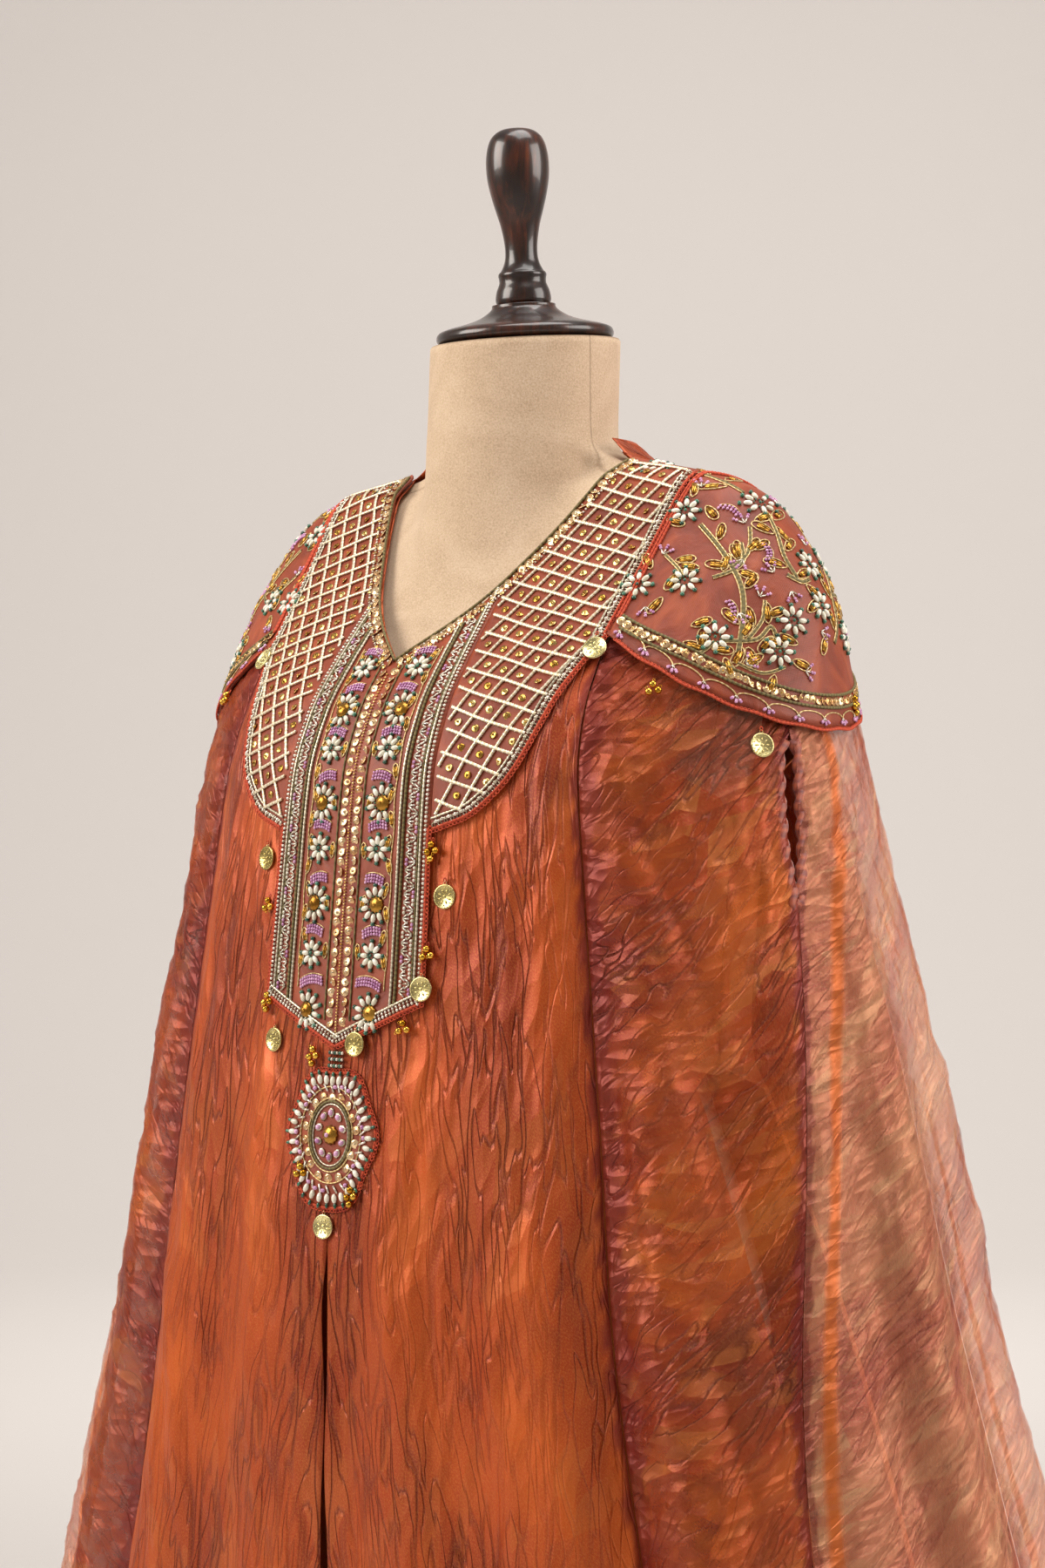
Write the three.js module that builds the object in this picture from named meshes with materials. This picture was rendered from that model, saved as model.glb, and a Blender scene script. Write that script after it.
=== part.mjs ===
// A kaftan of crushed tissue organza on a limbless dress form.
// Millimetres, +Z up, the front faces -Y, the wearer's left is +X.
// The origin is the middle of the stand's foot, on the floor.
import * as THREE from "three";

// Driving sizes of the garment.
const hemHeight = 45;
const clothWall = 1.5;
const seamGap = 0.4;
const layerGap = 0.3;
const halvings = 30;
const frontSeamTurn = 53;
const backSeamTurn = -50;
const yokeHeight = { neckPoint: 1282, capSeam: 1295, foot: 1178 };
const capSeamReach = { atShoulder: 150, atJunction: 142 };
const capDrop = { side: 1239, junction: 1296 };
const capTuck = 16;
const placketSize = { topHalf: 52, footHalf: 64, spread: 250, corner: 1073, point: 1044 };
const medallionSize = { halfWidth: 37, halfHeight: 42, height: 991, thick: 2.6 };
const slitTop = 1236;
const slitEnd = 1140;
const slitCapTurn = 12.2;
const slitOpening = 9;
const frontSlitTop = 931;
const frontSlitOpening = 7;
const coinSize = { radius: 7.5, rim: 6.4, thick: 1.5, field: 1.0, lift: 0.6 };
const liningTop = { front: 1262, back: 1296 };
const liningWaist = 1021;

// Driving sizes of the dress form and its stand.
const neckRadius = 62.5;
const neckTop = 1495;
const neckLean = 4;
const neckBase = 1430;
const neckShift = 3;
const neckBlend = 5;
const neckFoot = 1250;
const neckGrowth = 60;
const neckRound = { from: 1330, over: 70, below: 0.35 };
const neckFlare = { reach: 5, from: 1452, over: 90 };
const formFloor = 700;
const formEase = 2.6;
const poleRadius = 12.5;
const footRadius = 170;
const footHeight = 18;

// Outline of the garment, a row for each height: half width at the side, depth of the front
// and depth of the back, each from the upright axis through the neck.
const garmentTable = [
  { z: 1428, half: 75, front: 3, back: 77 },
  { z: 1412, half: 94, front: 6, back: 89 },
  { z: 1404, half: 125, front: 17, back: 96 },
  { z: 1397, half: 156, front: 28, back: 102 },
  { z: 1386, half: 181, front: 37, back: 107 },
  { z: 1372, half: 197, front: 48, back: 112 },
  { z: 1346, half: 216, front: 69, back: 120 },
  { z: 1320, half: 229, front: 90, back: 130 },
  { z: 1283, half: 237, front: 121, back: 141 },
  { z: 1250, half: 240, front: 144, back: 155 },
  { z: 1210, half: 247, front: 159, back: 168 },
  { z: 1140, half: 263, front: 167, back: 184 },
  { z: 1000, half: 295, front: 180, back: 220 },
  { z: 870, half: 321, front: 189, back: 250 },
  { z: 730, half: 361, front: 191, back: 278 },
  { z: 660, half: 381, front: 193, back: 292 },
  { z: 450, half: 430, front: 205, back: 325 },
  { z: 250, half: 470, front: 222, back: 350 },
  { z: hemHeight, half: 505, front: 240, back: 372 },
];

// The lining hangs from the yoke, fits the waist and flares to a narrower hem.
const liningTable = [
  { z: 1300, half: 231, front: 102, back: 133.2 },
  { z: 1262, half: 236, front: 133.4, back: 138 },
  { z: 1200, half: 176, front: 148, back: 134 },
  { z: 1130, half: 166, front: 140, back: 128 },
  { z: 1040, half: 160, front: 128, back: 128 },
  { z: 1000, half: 176, front: 134, back: 142 },
  { z: 850, half: 232, front: 152, back: 176 },
  { z: 600, half: 300, front: 164, back: 214 },
  { z: 300, half: 352, front: 176, back: 244 },
  { z: 95, half: 384, front: 186, back: 262 },
];

// The torso of the form, without its neck. Its shoulders carry the garment's shoulders.
const formTable = [
  { z: 1425, half: 40, front: 20, back: 40 },
  { z: 1412 - formEase, half: 88, front: 8, back: 76 },
  { z: 1404 - formEase, half: 125, front: 12, back: 83 },
  { z: 1397 - formEase, half: 156, front: 22, back: 91 },
  { z: 1386 - formEase, half: 180, front: 31, back: 98 },
  { z: 1372 - formEase, half: 193, front: 41, back: 103 },
  { z: 1344, half: 203, front: 59, back: 109 },
  { z: 1310, half: 198, front: 85, back: 116 },
  { z: 1283, half: 186, front: 107, back: 120 },
  { z: 1250, half: 174, front: 122, back: 120 },
  { z: 1200, half: 162, front: 138, back: 117 },
  { z: 1130, half: 146, front: 124, back: 106 },
  { z: 1040, half: 128, front: 100, back: 98 },
  { z: 950, half: 150, front: 106, back: 122 },
  { z: 850, half: 174, front: 114, back: 138 },
  { z: 740, half: 166, front: 108, back: 128 },
  { z: formFloor, half: 150, front: 96, back: 112 },
];

// The V neckline: half width at each height.
const neckline = [
  { z: 1412, half: 94 },
  { z: 1372, half: 76 },
  { z: 1344, half: 60 },
  { z: 1327, half: 49 },
  { z: 1310, half: 34 },
  { z: 1282, half: 0 },
];

// The arm slit's line from the cap to the hem: turn round the axis at each height.
const slitLine = [
  { z: 1236, turn: 12.2 },
  { z: 1148, turn: 15.6 },
  { z: 954, turn: 24.3 },
  { z: 762, turn: 31.4 },
  { z: 450, turn: 36.5 },
  { z: hemHeight, turn: 39 },
];

// The yoke's outer edge, from the cap seam's end round to the placket.
const yokeEdge = [
  { x: 142, z: 1295 },
  { x: 129, z: 1264 },
  { x: 114, z: 1217 },
  { x: 92, z: 1190 },
  { x: 70, z: 1180 },
  { x: 64, z: 1178 },
];

// Folds of the outer cloth: turn round the axis, spread in degrees, depth at the hem
// (positive stands out) and the height where the fold begins.
const folds = [
  { turn: 87, spread: 3.5, depth: -9, from: 1000 },
  { turn: 80, spread: 4.5, depth: 11, from: 1080 },
  { turn: 72, spread: 4, depth: -10, from: 1150 },
  { turn: 62, spread: 5, depth: 14, from: 1200 },
  { turn: 53, spread: 3.5, depth: -22, from: 1290 },
  { turn: 45, spread: 4.5, depth: 17, from: 1270 },
  { turn: 37, spread: 3.5, depth: -13, from: 1180 },
  { turn: 25, spread: 5, depth: 15, from: 1220 },
  { turn: 12, spread: 4, depth: -18, from: 1230 },
  { turn: 1, spread: 4.5, depth: 20, from: 1260 },
  { turn: -10, spread: 4, depth: -16, from: 1200 },
  { turn: -22, spread: 5, depth: 18, from: 1240 },
  { turn: -36, spread: 4.5, depth: -18, from: 1180 },
  { turn: -47, spread: 4, depth: 14, from: 1100 },
  { turn: -58, spread: 4.5, depth: -16, from: 1120 },
  { turn: -71, spread: 5, depth: 18, from: 1180 },
  { turn: -84, spread: 4, depth: -14, from: 1060 },
  { turn: -97, spread: 5, depth: 15, from: 1140 },
  { turn: -110, spread: 4.5, depth: -17, from: 1160 },
  { turn: -122, spread: 4.5, depth: 15, from: 1090 },
  { turn: -135, spread: 4.5, depth: -15, from: 1170 },
  { turn: -149, spread: 5, depth: 18, from: 1230 },
  { turn: -163, spread: 4.5, depth: -16, from: 1190 },
  { turn: -176, spread: 4.5, depth: 19, from: 1250 },
  { turn: 171, spread: 4, depth: -17, from: 1230 },
  { turn: 158, spread: 5, depth: 14, from: 1220 },
  { turn: 146, spread: 3.5, depth: -12, from: 1190 },
  { turn: 136, spread: 4.5, depth: 16, from: 1270 },
  { turn: 127, spread: 3.5, depth: -21, from: 1290 },
  { turn: 118, spread: 5, depth: 13, from: 1190 },
  { turn: 108, spread: 4, depth: -9, from: 1100 },
  { turn: 98, spread: 5, depth: 10, from: 1040 },
];
const liningFolds = [];
for (let turn = 0; turn < 360; turn += 30) {
  liningFolds.push({ turn, spread: 9, depth: 9, from: 980 });
}

// Coins sewn on by a thread: place across the front, or turn round the side, height, and
// how far the piece below the coin stands out of the cloth.
const yokeStands = 3.1;
const placketStands = 3.8;
const coins = [
  { name: "coin_yoke_left", x: 139, z: 1286, over: yokeStands },
  { name: "coin_yoke_right", x: -139, z: 1286, over: yokeStands },
  { name: "coin_placket_a", x: 74, z: 1138, over: 0 },
  { name: "coin_placket_b", x: -78, z: 1159, over: 0 },
  { name: "coin_placket_c", x: 64, z: 1082, over: placketStands },
  { name: "coin_placket_d", x: -57, z: 1046, over: 0 },
  { name: "coin_placket_e", x: 17, z: 1047, over: placketStands - 1.2 },
  { name: "coin_slit", x: -3, z: 935, over: 0 },
  { name: "coin_cap_left", turn: 19.5, z: 1229, over: 0 },
  { name: "coin_cap_right", turn: 160.5, z: 1229, over: 0 },
];

const finish = (colour, roughness, metalness = 0) =>
  new THREE.MeshStandardMaterial({ color: colour, roughness, metalness });
const linedCloth = finish("#b5532a", 0.55);
const sheerCloth = finish("#a8502f", 0.5);
const liningCloth = finish("#c4632f", 0.6);
const yokeCloth = finish("#a84f2c", 0.6);
const beadwork = finish("#c9a86a", 0.45, 0.3);
const goldCoin = finish("#d9c98a", 0.3, 1);
const suede = finish("#c9b193", 0.9);
const turnedWood = finish("#2e1a12", 0.25);
const standMetal = finish("#3b3a38", 0.4, 1);

const group = new THREE.Group();
const radians = THREE.MathUtils.degToRad;
const lerp = THREE.MathUtils.lerp;
const clamp = THREE.MathUtils.clamp;

// A smooth curve through one column of a table, which never overshoots its rows.
function column(table, key, along = "z") {
  const rows = [...table].sort((a, b) => a[along] - b[along]);
  const at = rows.map((row) => row[along]);
  const value = rows.map((row) => row[key]);
  const rise = at.slice(1).map((v, i) => (value[i + 1] - value[i]) / (v - at[i]));
  const slope = value.map((_, i) => {
    const before = rise[i - 1] ?? rise[i];
    const after = rise[i] ?? rise[i - 1];
    return before * after <= 0 ? 0 : (2 * before * after) / (before + after);
  });
  return (where) => {
    const w = clamp(where, at[0], at[at.length - 1]);
    const k = clamp(at.findIndex((v) => v >= w) - 1, 0, at.length - 2);
    const step = at[k + 1] - at[k];
    const t = (w - at[k]) / step;
    const hold = value[k] * (1 + 2 * t) * (1 - t) ** 2 + value[k + 1] * t * t * (3 - 2 * t);
    return hold + step * (slope[k] * t * (1 - t) ** 2 - slope[k + 1] * t * t * (1 - t));
  };
}

// How far the folds move the cloth at a turn and a height.
function foldDepth(table, turn, z, hem) {
  const growth = 0.8;
  let depth = 0;
  for (const fold of table) {
    const away = Math.abs(((turn - fold.turn + 540) % 360) - 180) / (2 * fold.spread);
    if (away < 1 && z < fold.from) {
      const grown = ((fold.from - z) / (fold.from - hem)) ** growth;
      depth += fold.depth * grown * Math.cos((away * Math.PI) / 2) ** 2;
    }
  }
  return depth;
}

// A worn surface: points and outward normals by turn and height. Turn 0 is the wearer's
// left side, 90 the front, 180 the right side and 270 the back.
function surface(table, foldTable = [], hem = hemHeight) {
  const half = column(table, "half");
  const front = column(table, "front");
  const back = column(table, "back");
  const point = (turn, z) => {
    const angle = radians(turn);
    const a = half(z);
    const b = Math.sin(angle) >= 0 ? front(z) : back(z);
    const out = new THREE.Vector2(b * Math.cos(angle), -a * Math.sin(angle)).normalize();
    out.multiplyScalar(foldDepth(foldTable, turn, z, hem));
    return new THREE.Vector3(a * Math.cos(angle) + out.x, -b * Math.sin(angle) + out.y, z);
  };
  const normal = (turn, z) => {
    const round = point(turn + 0.5, z).sub(point(turn - 0.5, z));
    const up = point(turn, z + 1).sub(point(turn, z - 1));
    return up.cross(round).normalize();
  };
  const turnAt = (x, z) => THREE.MathUtils.radToDeg(Math.acos(clamp(x / half(z), -1, 1)));
  return { half, point, normal, turnAt };
}

const garment = surface(garmentTable, folds);
const lining = surface(liningTable, liningFolds, 95);
const torso = surface(formTable);

// Makes one closed body of a list of points and faces, turned to face outwards.
function solid(points, faces) {
  let volume = 0;
  for (const [a, b, c] of faces) {
    volume += points[a].dot(points[b].clone().cross(points[c]));
  }
  const geometry = new THREE.BufferGeometry();
  const flat = points.flatMap((p) => [p.x, p.y, p.z]);
  geometry.setAttribute("position", new THREE.Float32BufferAttribute(flat, 3));
  geometry.setIndex(faces.flatMap((f) => (volume < 0 ? [f[0], f[2], f[1]] : f)));
  return geometry;
}

function add(name, geometry, material) {
  const mesh = new THREE.Mesh(geometry, material);
  mesh.name = name;
  group.add(mesh);
  return mesh;
}

// A cloth wall between two faces that both follow a worn surface. at(s, t) gives the turn,
// the height and the distances of the outer and the inner face from the surface.
function wall(worn, columns, rows, at) {
  const points = [];
  for (let j = 0; j <= rows; j++) {
    for (let i = 0; i <= columns; i++) {
      const place = at(i / columns, j / rows);
      const point = worn.point(place.turn, place.z);
      const normal = worn.normal(place.turn, place.z);
      points.push(point.clone().addScaledVector(normal, place.outer));
      points.push(point.clone().addScaledVector(normal, place.inner));
    }
  }
  const index = (i, j, face) => 2 * (j * (columns + 1) + i) + face;
  const faces = [];
  const quad = (a, b, c, d) => faces.push([a, b, c], [a, c, d]);
  for (let j = 0; j < rows; j++) {
    for (let i = 0; i < columns; i++) {
      quad(index(i, j, 0), index(i + 1, j, 0), index(i + 1, j + 1, 0), index(i, j + 1, 0));
      quad(index(i, j, 1), index(i, j + 1, 1), index(i + 1, j + 1, 1), index(i + 1, j, 1));
    }
  }
  for (let i = 0; i < columns; i++) {
    quad(index(i, 0, 0), index(i, 0, 1), index(i + 1, 0, 1), index(i + 1, 0, 0));
    quad(index(i, rows, 0), index(i + 1, rows, 0), index(i + 1, rows, 1), index(i, rows, 1));
  }
  for (let j = 0; j < rows; j++) {
    quad(index(0, j, 0), index(0, j + 1, 0), index(0, j + 1, 1), index(0, j, 1));
    quad(index(columns, j, 0), index(columns, j, 1), index(columns, j + 1, 1),
      index(columns, j + 1, 0));
  }
  return solid(points, faces);
}

// Heights of the rows below the neckline, shared by every outer panel so that their seams
// meet, and how far the cap's lower edge pulls the first of them down.
const rowHeights = [1283, 1262, 1238, 1210, 1170, 1110, 1030, 940, 840, 730, 600, 450, 300, 165,
  hemHeight];
const rowPull = [0.66, 0.42, 0.22, 0.1, 0.03];
const basePlace = (turn, z) => ({ turn, z, outer: 0, inner: -clothWall });
// Distance of the applied pieces' inner face from the cloth below them, and what the yoke
// adds to it towards the shoulder line.
const bustReach = 0.5;
const bustLift = (z) => layerGap + 0.1 + bustReach * clamp((yokeHeight.capSeam - z) / 20, 0, 1);
const shoulderLift = { reach: 1.9, from: 1350 };

// The shoulder line: the height at which the garment is a given half width.
function ridgeHeight(x) {
  let low = rowHeights[0];
  let high = garmentTable[0].z;
  for (let k = 0; k < halvings; k++) {
    const middle = (low + high) / 2;
    if (garment.half(middle) > x) {
      low = middle;
    } else {
      high = middle;
    }
  }
  return low;
}

const neckHalf = column(neckline, "half");
const neckHeightAt = column(neckline, "z", "half");
const snp = neckline[0];
const capSeamX = (z) => lerp(capSeamReach.atJunction, capSeamReach.atShoulder,
  clamp((z - yokeHeight.capSeam) / (ridgeHeight(capSeamReach.atShoulder) - yokeHeight.capSeam), 0, 1));
const capHem = (turn) => lerp(capDrop.side, capDrop.junction, clamp(turn / frontSeamTurn, -1, 1) ** 2);
const slitTurn = column(slitLine, "turn");
const mirrored = (turn, side) => (side > 0 ? turn : 180 - turn);

// Front panel, left or right of the centre: the upper part runs from the neckline to the
// cap seam, the lower part from the centre line to the front seam.
function frontPanel(side, columns = 10, upperRows = 8) {
  const shoulderFall = 1.9;
  const leastTurn = 0.3;
  const low = rowHeights[0];
  const lowerRows = rowHeights.length - 1;
  const total = upperRows + lowerRows;
  const edge = Math.cos(radians(frontSeamTurn));
  return wall(garment, columns, total, (s, t) => {
    const row = t * total;
    let x;
    let z;
    if (row <= upperRows) {
      const fall = (row / upperRows) ** shoulderFall;
      const topX = lerp(snp.half, capSeamReach.atShoulder - seamGap, s);
      const inner = { z: lerp(snp.z, low, fall) };
      inner.x = neckHalf(inner.z);
      const outerZ = lerp(ridgeHeight(topX), low, fall);
      const seamX = outerZ > yokeHeight.capSeam ? capSeamX(outerZ) : garment.half(outerZ) * edge;
      z = lerp(inner.z, outerZ, s);
      x = fall === 0 ? topX : lerp(inner.x, seamX - seamGap, s);
    } else {
      z = rowHeights[Math.round(row - upperRows)];
      const parting = z < frontSlitTop ? frontSlitOpening / 2 : 0;
      x = lerp(seamGap / 2 + parting, garment.half(z) * edge - seamGap, s);
    }
    x = Math.max(x, seamGap / 2);
    return basePlace(mirrored(Math.max(garment.turnAt(x, z), leastTurn), side), z);
  });
}

// The gaps at the long seams, in degrees of turn.
const seamTurnGap = { front: 0.2, back: 0.12, cap: 0.09 };

// Half the gap between the two edges of the arm slit, in degrees of turn.
function slitHalfGap(z) {
  const eased = { top: 14, foot: 30 };
  const open = clamp((slitTop - z) / eased.top, 0, 1) * clamp((z - slitEnd) / eased.foot, 0, 1);
  const turn = slitTurn(z);
  const perDegree = garment.point(turn + 0.5, z).distanceTo(garment.point(turn - 0.5, z));
  return (seamGap + slitOpening * open) / 2 / perDegree;
}

// How deep a side piece lies under the cap, and over what height it gets there.
const tuck = { depth: 1.3, over: 14 };

// Rows of a side piece: the first follows the cap's edge, tucked under it.
function sideRow(row, capTurn) {
  const topZ = capHem(capTurn) + capTuck;
  const fullTop = capDrop.junction + capTuck;
  const z = row === 0 ? topZ : rowHeights[row - 1] + (topZ - fullTop) * (rowPull[row - 1] ?? 0);
  return { z, tucked: tuck.depth * clamp((z - capHem(capTurn) + tuck.over) / tuck.over, 0, 1) };
}

function sidePanel(side, columns = 9) {
  const rows = rowHeights.length;
  const from = (z) => (z > yokeHeight.capSeam
    ? garment.turnAt(capSeamX(z) + 2 * seamGap, z) : frontSeamTurn - seamTurnGap.front);
  return wall(garment, columns, rows, (s, t) => {
    const { z, tucked } = sideRow(Math.round(t * rows), lerp(frontSeamTurn, slitCapTurn, s));
    const place = basePlace(mirrored(lerp(from(z), slitTurn(z) + slitHalfGap(z), s), side), z);
    return { ...place, outer: -tucked, inner: -clothWall - tucked };
  });
}

function sleevePanel(side, columns = 13) {
  const rows = rowHeights.length;
  const to = backSeamTurn + seamTurnGap.back;
  return wall(garment, columns, rows, (s, t) => {
    const { z, tucked } = sideRow(Math.round(t * rows), lerp(slitCapTurn, -frontSeamTurn, s));
    const place = basePlace(mirrored(lerp(slitTurn(z) - slitHalfGap(z), to, s), side), z);
    return { ...place, outer: -tucked, inner: -clothWall - tucked };
  });
}

// Back panel, from the shoulder line and the back neckline to the hem.
function backPanel(columns = 24, upperRows = 8) {
  const shoulderFall = 2.2;
  const spreadFall = 0.8;
  const seamBlend = 60;
  const leastTurn = 0.3;
  const low = rowHeights[0];
  const lowerRows = rowHeights.length - 1;
  const total = upperRows + lowerRows;
  const neckShare = 0.6;
  const top = garmentTable[0];
  return wall(garment, columns, total, (s, t) => {
    const across = 2 * s - 1;
    const reach = Math.abs(across);
    const row = t * total;
    const edgeX = (z) => (z > yokeHeight.capSeam ? capSeamX(z) - seamGap
      : garment.half(z) * Math.cos(radians(lerp(frontSeamTurn, -backSeamTurn,
        clamp((yokeHeight.capSeam - z) / seamBlend, 0, 1))))) - 2 * seamGap;
    let x;
    let z;
    if (row <= upperRows) {
      const fall = (row / upperRows) ** shoulderFall;
      const shoulder = clamp((reach - neckShare) / (1 - neckShare), 0, 1);
      const topX = reach < neckShare ? top.half * Math.sin((reach / neckShare) * Math.PI / 2)
        : lerp(top.half, edgeX(ridgeHeight(capSeamReach.atShoulder)), shoulder);
      z = lerp(reach < neckShare ? top.z : ridgeHeight(topX), low, fall);
      x = lerp(topX, edgeX(z) * reach, fall ** spreadFall);
    } else {
      z = rowHeights[Math.round(row - upperRows)];
      x = edgeX(z) * reach;
    }
    const turn = Math.max(garment.turnAt(x, z), leastTurn);
    return basePlace(across < 0 ? -turn : turn - 180, z);
  });
}

// Shoulder cap: from the cap seam, over the shoulder, down to its rounded lower edge.
function shoulderCap(side, columns = 14, rows = 9) {
  const seamEnd = 14;
  const spread = 1.5;
  const roll = { reach: 0.9, from: 0.86 };
  return wall(garment, columns, rows, (s, t) => {
    const across = 1 - 2 * s;
    const seamLow = yokeHeight.capSeam + seamEnd;
    const seamTop = ridgeHeight(capSeamReach.atShoulder);
    const widest = garment.turnAt(capSeamX(seamLow) + seamGap, seamLow);
    const seamTurn = widest * across;
    let low = seamLow;
    let high = seamTop;
    for (let k = 0; k < halvings; k++) {
      const middle = (low + high) / 2;
      if (garment.turnAt(capSeamX(middle) + seamGap, middle) > Math.abs(seamTurn)) {
        low = middle;
      } else {
        high = middle;
      }
    }
    const hemTurn = (frontSeamTurn - seamTurnGap.cap) * across;
    const z = lerp(low, capHem(hemTurn), t ** spread);
    const turn = lerp(seamTurn, hemTurn, t ** spread);
    const rolled = roll.reach * clamp((t - roll.from) / (1 - roll.from), 0, 1);
    const lift = layerGap + bustReach;
    return { turn: mirrored(turn, side), z, outer: lift + clothWall + rolled, inner: lift };
  });
}

// Yoke panel: from the shoulder line between the neckline, the placket and the outer edge.
const placketHalf = (z) => lerp(placketSize.topHalf, placketSize.footHalf,
  clamp((neckHeightAt(placketSize.topHalf) - z) / placketSize.spread, 0, 1) ** 0.5);
const yokeCurve = new THREE.SplineCurve(yokeEdge.map((p) => new THREE.Vector2(p.x, p.z)));

function yokePanel(side, columns = 8, rows = 14) {
  const border = 0.9;
  const seamFall = 1.3;
  const footReach = 3;
  const leastTurn = 8;
  const shoulderShare = 0.42;
  const cornerShare = 0.36;
  const inset = 1;
  return wall(garment, columns, rows, (s, t) => {
    const inner = {};
    if (t <= cornerShare) {
      inner.z = lerp(snp.z, neckHeightAt(placketSize.topHalf), t / cornerShare);
      inner.x = neckHalf(inner.z) + layerGap;
    } else {
      const fall = (t - cornerShare) / (1 - cornerShare);
      inner.z = lerp(neckHeightAt(placketSize.topHalf), yokeHeight.foot, fall);
      inner.x = placketHalf(inner.z) + seamGap;
    }
    const outer = {};
    if (t <= shoulderShare) {
      const seamTop = ridgeHeight(capSeamReach.atShoulder);
      outer.z = lerp(seamTop, yokeHeight.capSeam, (t / shoulderShare) ** seamFall);
      outer.x = capSeamX(outer.z) - inset;
    } else {
      const along = yokeCurve.getPoint((t - shoulderShare) / (1 - shoulderShare));
      outer.z = along.y;
      outer.x = along.x + (t === 1 ? footReach : 0);
    }
    const topX = lerp(snp.half, capSeamReach.atShoulder - inset, s);
    const x = t === 0 ? topX : lerp(inner.x, outer.x, s);
    const z = t === 0 ? ridgeHeight(topX) : lerp(inner.z, outer.z, s);
    const raised = s === 0 || s === 1 || t === 1 ? border : 0;
    const lift = bustLift(z) + shoulderLift.reach * clamp((z - shoulderLift.from) / 50, 0, 1);
    const turn = Math.max(garment.turnAt(x, z), leastTurn);
    return { turn: mirrored(turn, side), z, outer: lift + clothWall + raised, inner: lift };
  });
}

// Front placket: a long strip with a notch for the neckline and a pointed foot. Its edges
// and the two cords between its bands stand a little higher.
function placket(rows = 13) {
  const notchGap = 0.5;
  const across = [-1, -0.93, -0.78, -0.72, -0.66, -0.45, -0.22, 0, 0.22, 0.45, 0.66, 0.72, 0.78,
    0.93, 1];
  const raised = { 1: 1.3, 0.93: 0.2, 0.72: 1.2, 0: 0.9 };
  const columns = across.length - 1;
  return wall(garment, columns, rows, (s, t) => {
    const share = across[Math.round(s * columns)];
    const reach = Math.abs(share);
    const topZ = neckHeightAt(Math.min(reach * placketSize.topHalf, placketSize.topHalf)) - notchGap;
    const footZ = lerp(placketSize.point, placketSize.corner, reach);
    const z = lerp(topZ, footZ, t);
    const x = placketHalf(z) * share;
    const outer = bustLift(z) + clothWall + (raised[reach] ?? 0);
    return { turn: garment.turnAt(x, z), z, outer, inner: bustLift(z) };
  });
}

// The applied medallion: a scalloped six-sided shape with a pointed foot, ringed by raised
// cords round a ribbed dome.
function medallion(spokes = 30, rings = [0.24, 0.4, 0.5, 0.62, 0.8, 1]) {
  const lift = [1.2, 0.2, 1.0, 0.2, 0.9, 0.3];
  const outline = { scallops: 6, scallop: 0.045, foot: 0.16, sharpness: 6, inset: 0.04 };
  const dome = { size: 0.3, ribStep: 3, ribDepth: 0.5 };
  const edge = (angle) => {
    const scallop = 1 + outline.scallop * Math.cos(outline.scallops * angle + Math.PI);
    const foot = outline.foot * Math.max(0, Math.cos(angle + Math.PI)) ** outline.sharpness;
    return scallop - outline.inset + foot;
  };
  const points = [];
  const place = (x, z, distance) => {
    const turn = garment.turnAt(x, z);
    points.push(garment.point(turn, z).addScaledVector(garment.normal(turn, z), distance));
  };
  const { halfWidth, halfHeight, height, thick } = medallionSize;
  for (const face of [0, 1]) {
    place(0, height, face === 0 ? layerGap + thick : layerGap);
    rings.forEach((ring, r) => {
      for (let k = 0; k < spokes; k++) {
        const angle = (2 * Math.PI * k) / spokes;
        const size = ring * edge(angle);
        const ribs = ring < dome.size && k % dome.ribStep === 0 ? -dome.ribDepth : 0;
        const top = layerGap + clothWall + lift[r] + ribs;
        place(halfWidth * size * Math.sin(angle), height + halfHeight * size * Math.cos(angle),
          face === 0 ? top : layerGap);
      }
    });
  }
  const perFace = 1 + rings.length * spokes;
  const index = (face, ring, k) => face * perFace + 1 + ring * spokes + (k % spokes);
  const faces = [];
  for (let k = 0; k < spokes; k++) {
    faces.push([0, index(0, 0, k), index(0, 0, k + 1)]);
    faces.push([perFace, index(1, 0, k + 1), index(1, 0, k)]);
    for (let r = 0; r < rings.length - 1; r++) {
      const [a, b] = [index(0, r, k), index(0, r, k + 1)];
      const [c, d] = [index(0, r + 1, k + 1), index(0, r + 1, k)];
      faces.push([a, d, c], [a, c, b]);
      const [e, f] = [index(1, r, k), index(1, r, k + 1)];
      const [g, h] = [index(1, r + 1, k + 1), index(1, r + 1, k)];
      faces.push([e, g, h], [e, f, g]);
    }
    const last = rings.length - 1;
    const [a, b] = [index(0, last, k), index(0, last, k + 1)];
    const [c, d] = [index(1, last, k + 1), index(1, last, k)];
    faces.push([a, d, c], [a, c, b]);
  }
  return solid(points, faces);
}

// Lining halves, open at the armholes and below the waist at each side.
function liningHalf(isFront, columns = 14, rows = 13) {
  const hem = liningTable[liningTable.length - 1].z;
  const top = isFront ? liningTop.front : liningTop.back;
  const underarm = 1195;
  const armholeTop = frontSeamTurn - 15;
  const armholeCurve = 0.6;
  const seamHalf = { underarm: 0.3, side: 0.2 };
  const ventHalf = isFront ? 12 : 22;
  const span = (z) => {
    if (z > underarm) {
      const rise = (z - underarm) / (top - underarm);
      return lerp(90 - seamHalf.underarm, armholeTop, rise ** armholeCurve);
    }
    return z > liningWaist - 2 ? 90 - seamHalf.side : 90 - ventHalf;
  };
  const heights = [top, 0.75 * top + 0.25 * underarm, (top + underarm) / 2, underarm, 1130, 1080,
    liningWaist, liningWaist - 4, 940, 850, 720, 560, 330, hem];
  return wall(lining, columns, rows, (s, t) => {
    const z = heights[Math.round(t * rows)];
    const reach = span(z) * (2 * s - 1);
    return { turn: (isFront ? 90 : 270) + reach, z, outer: 0, inner: -1 };
  });
}

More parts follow.
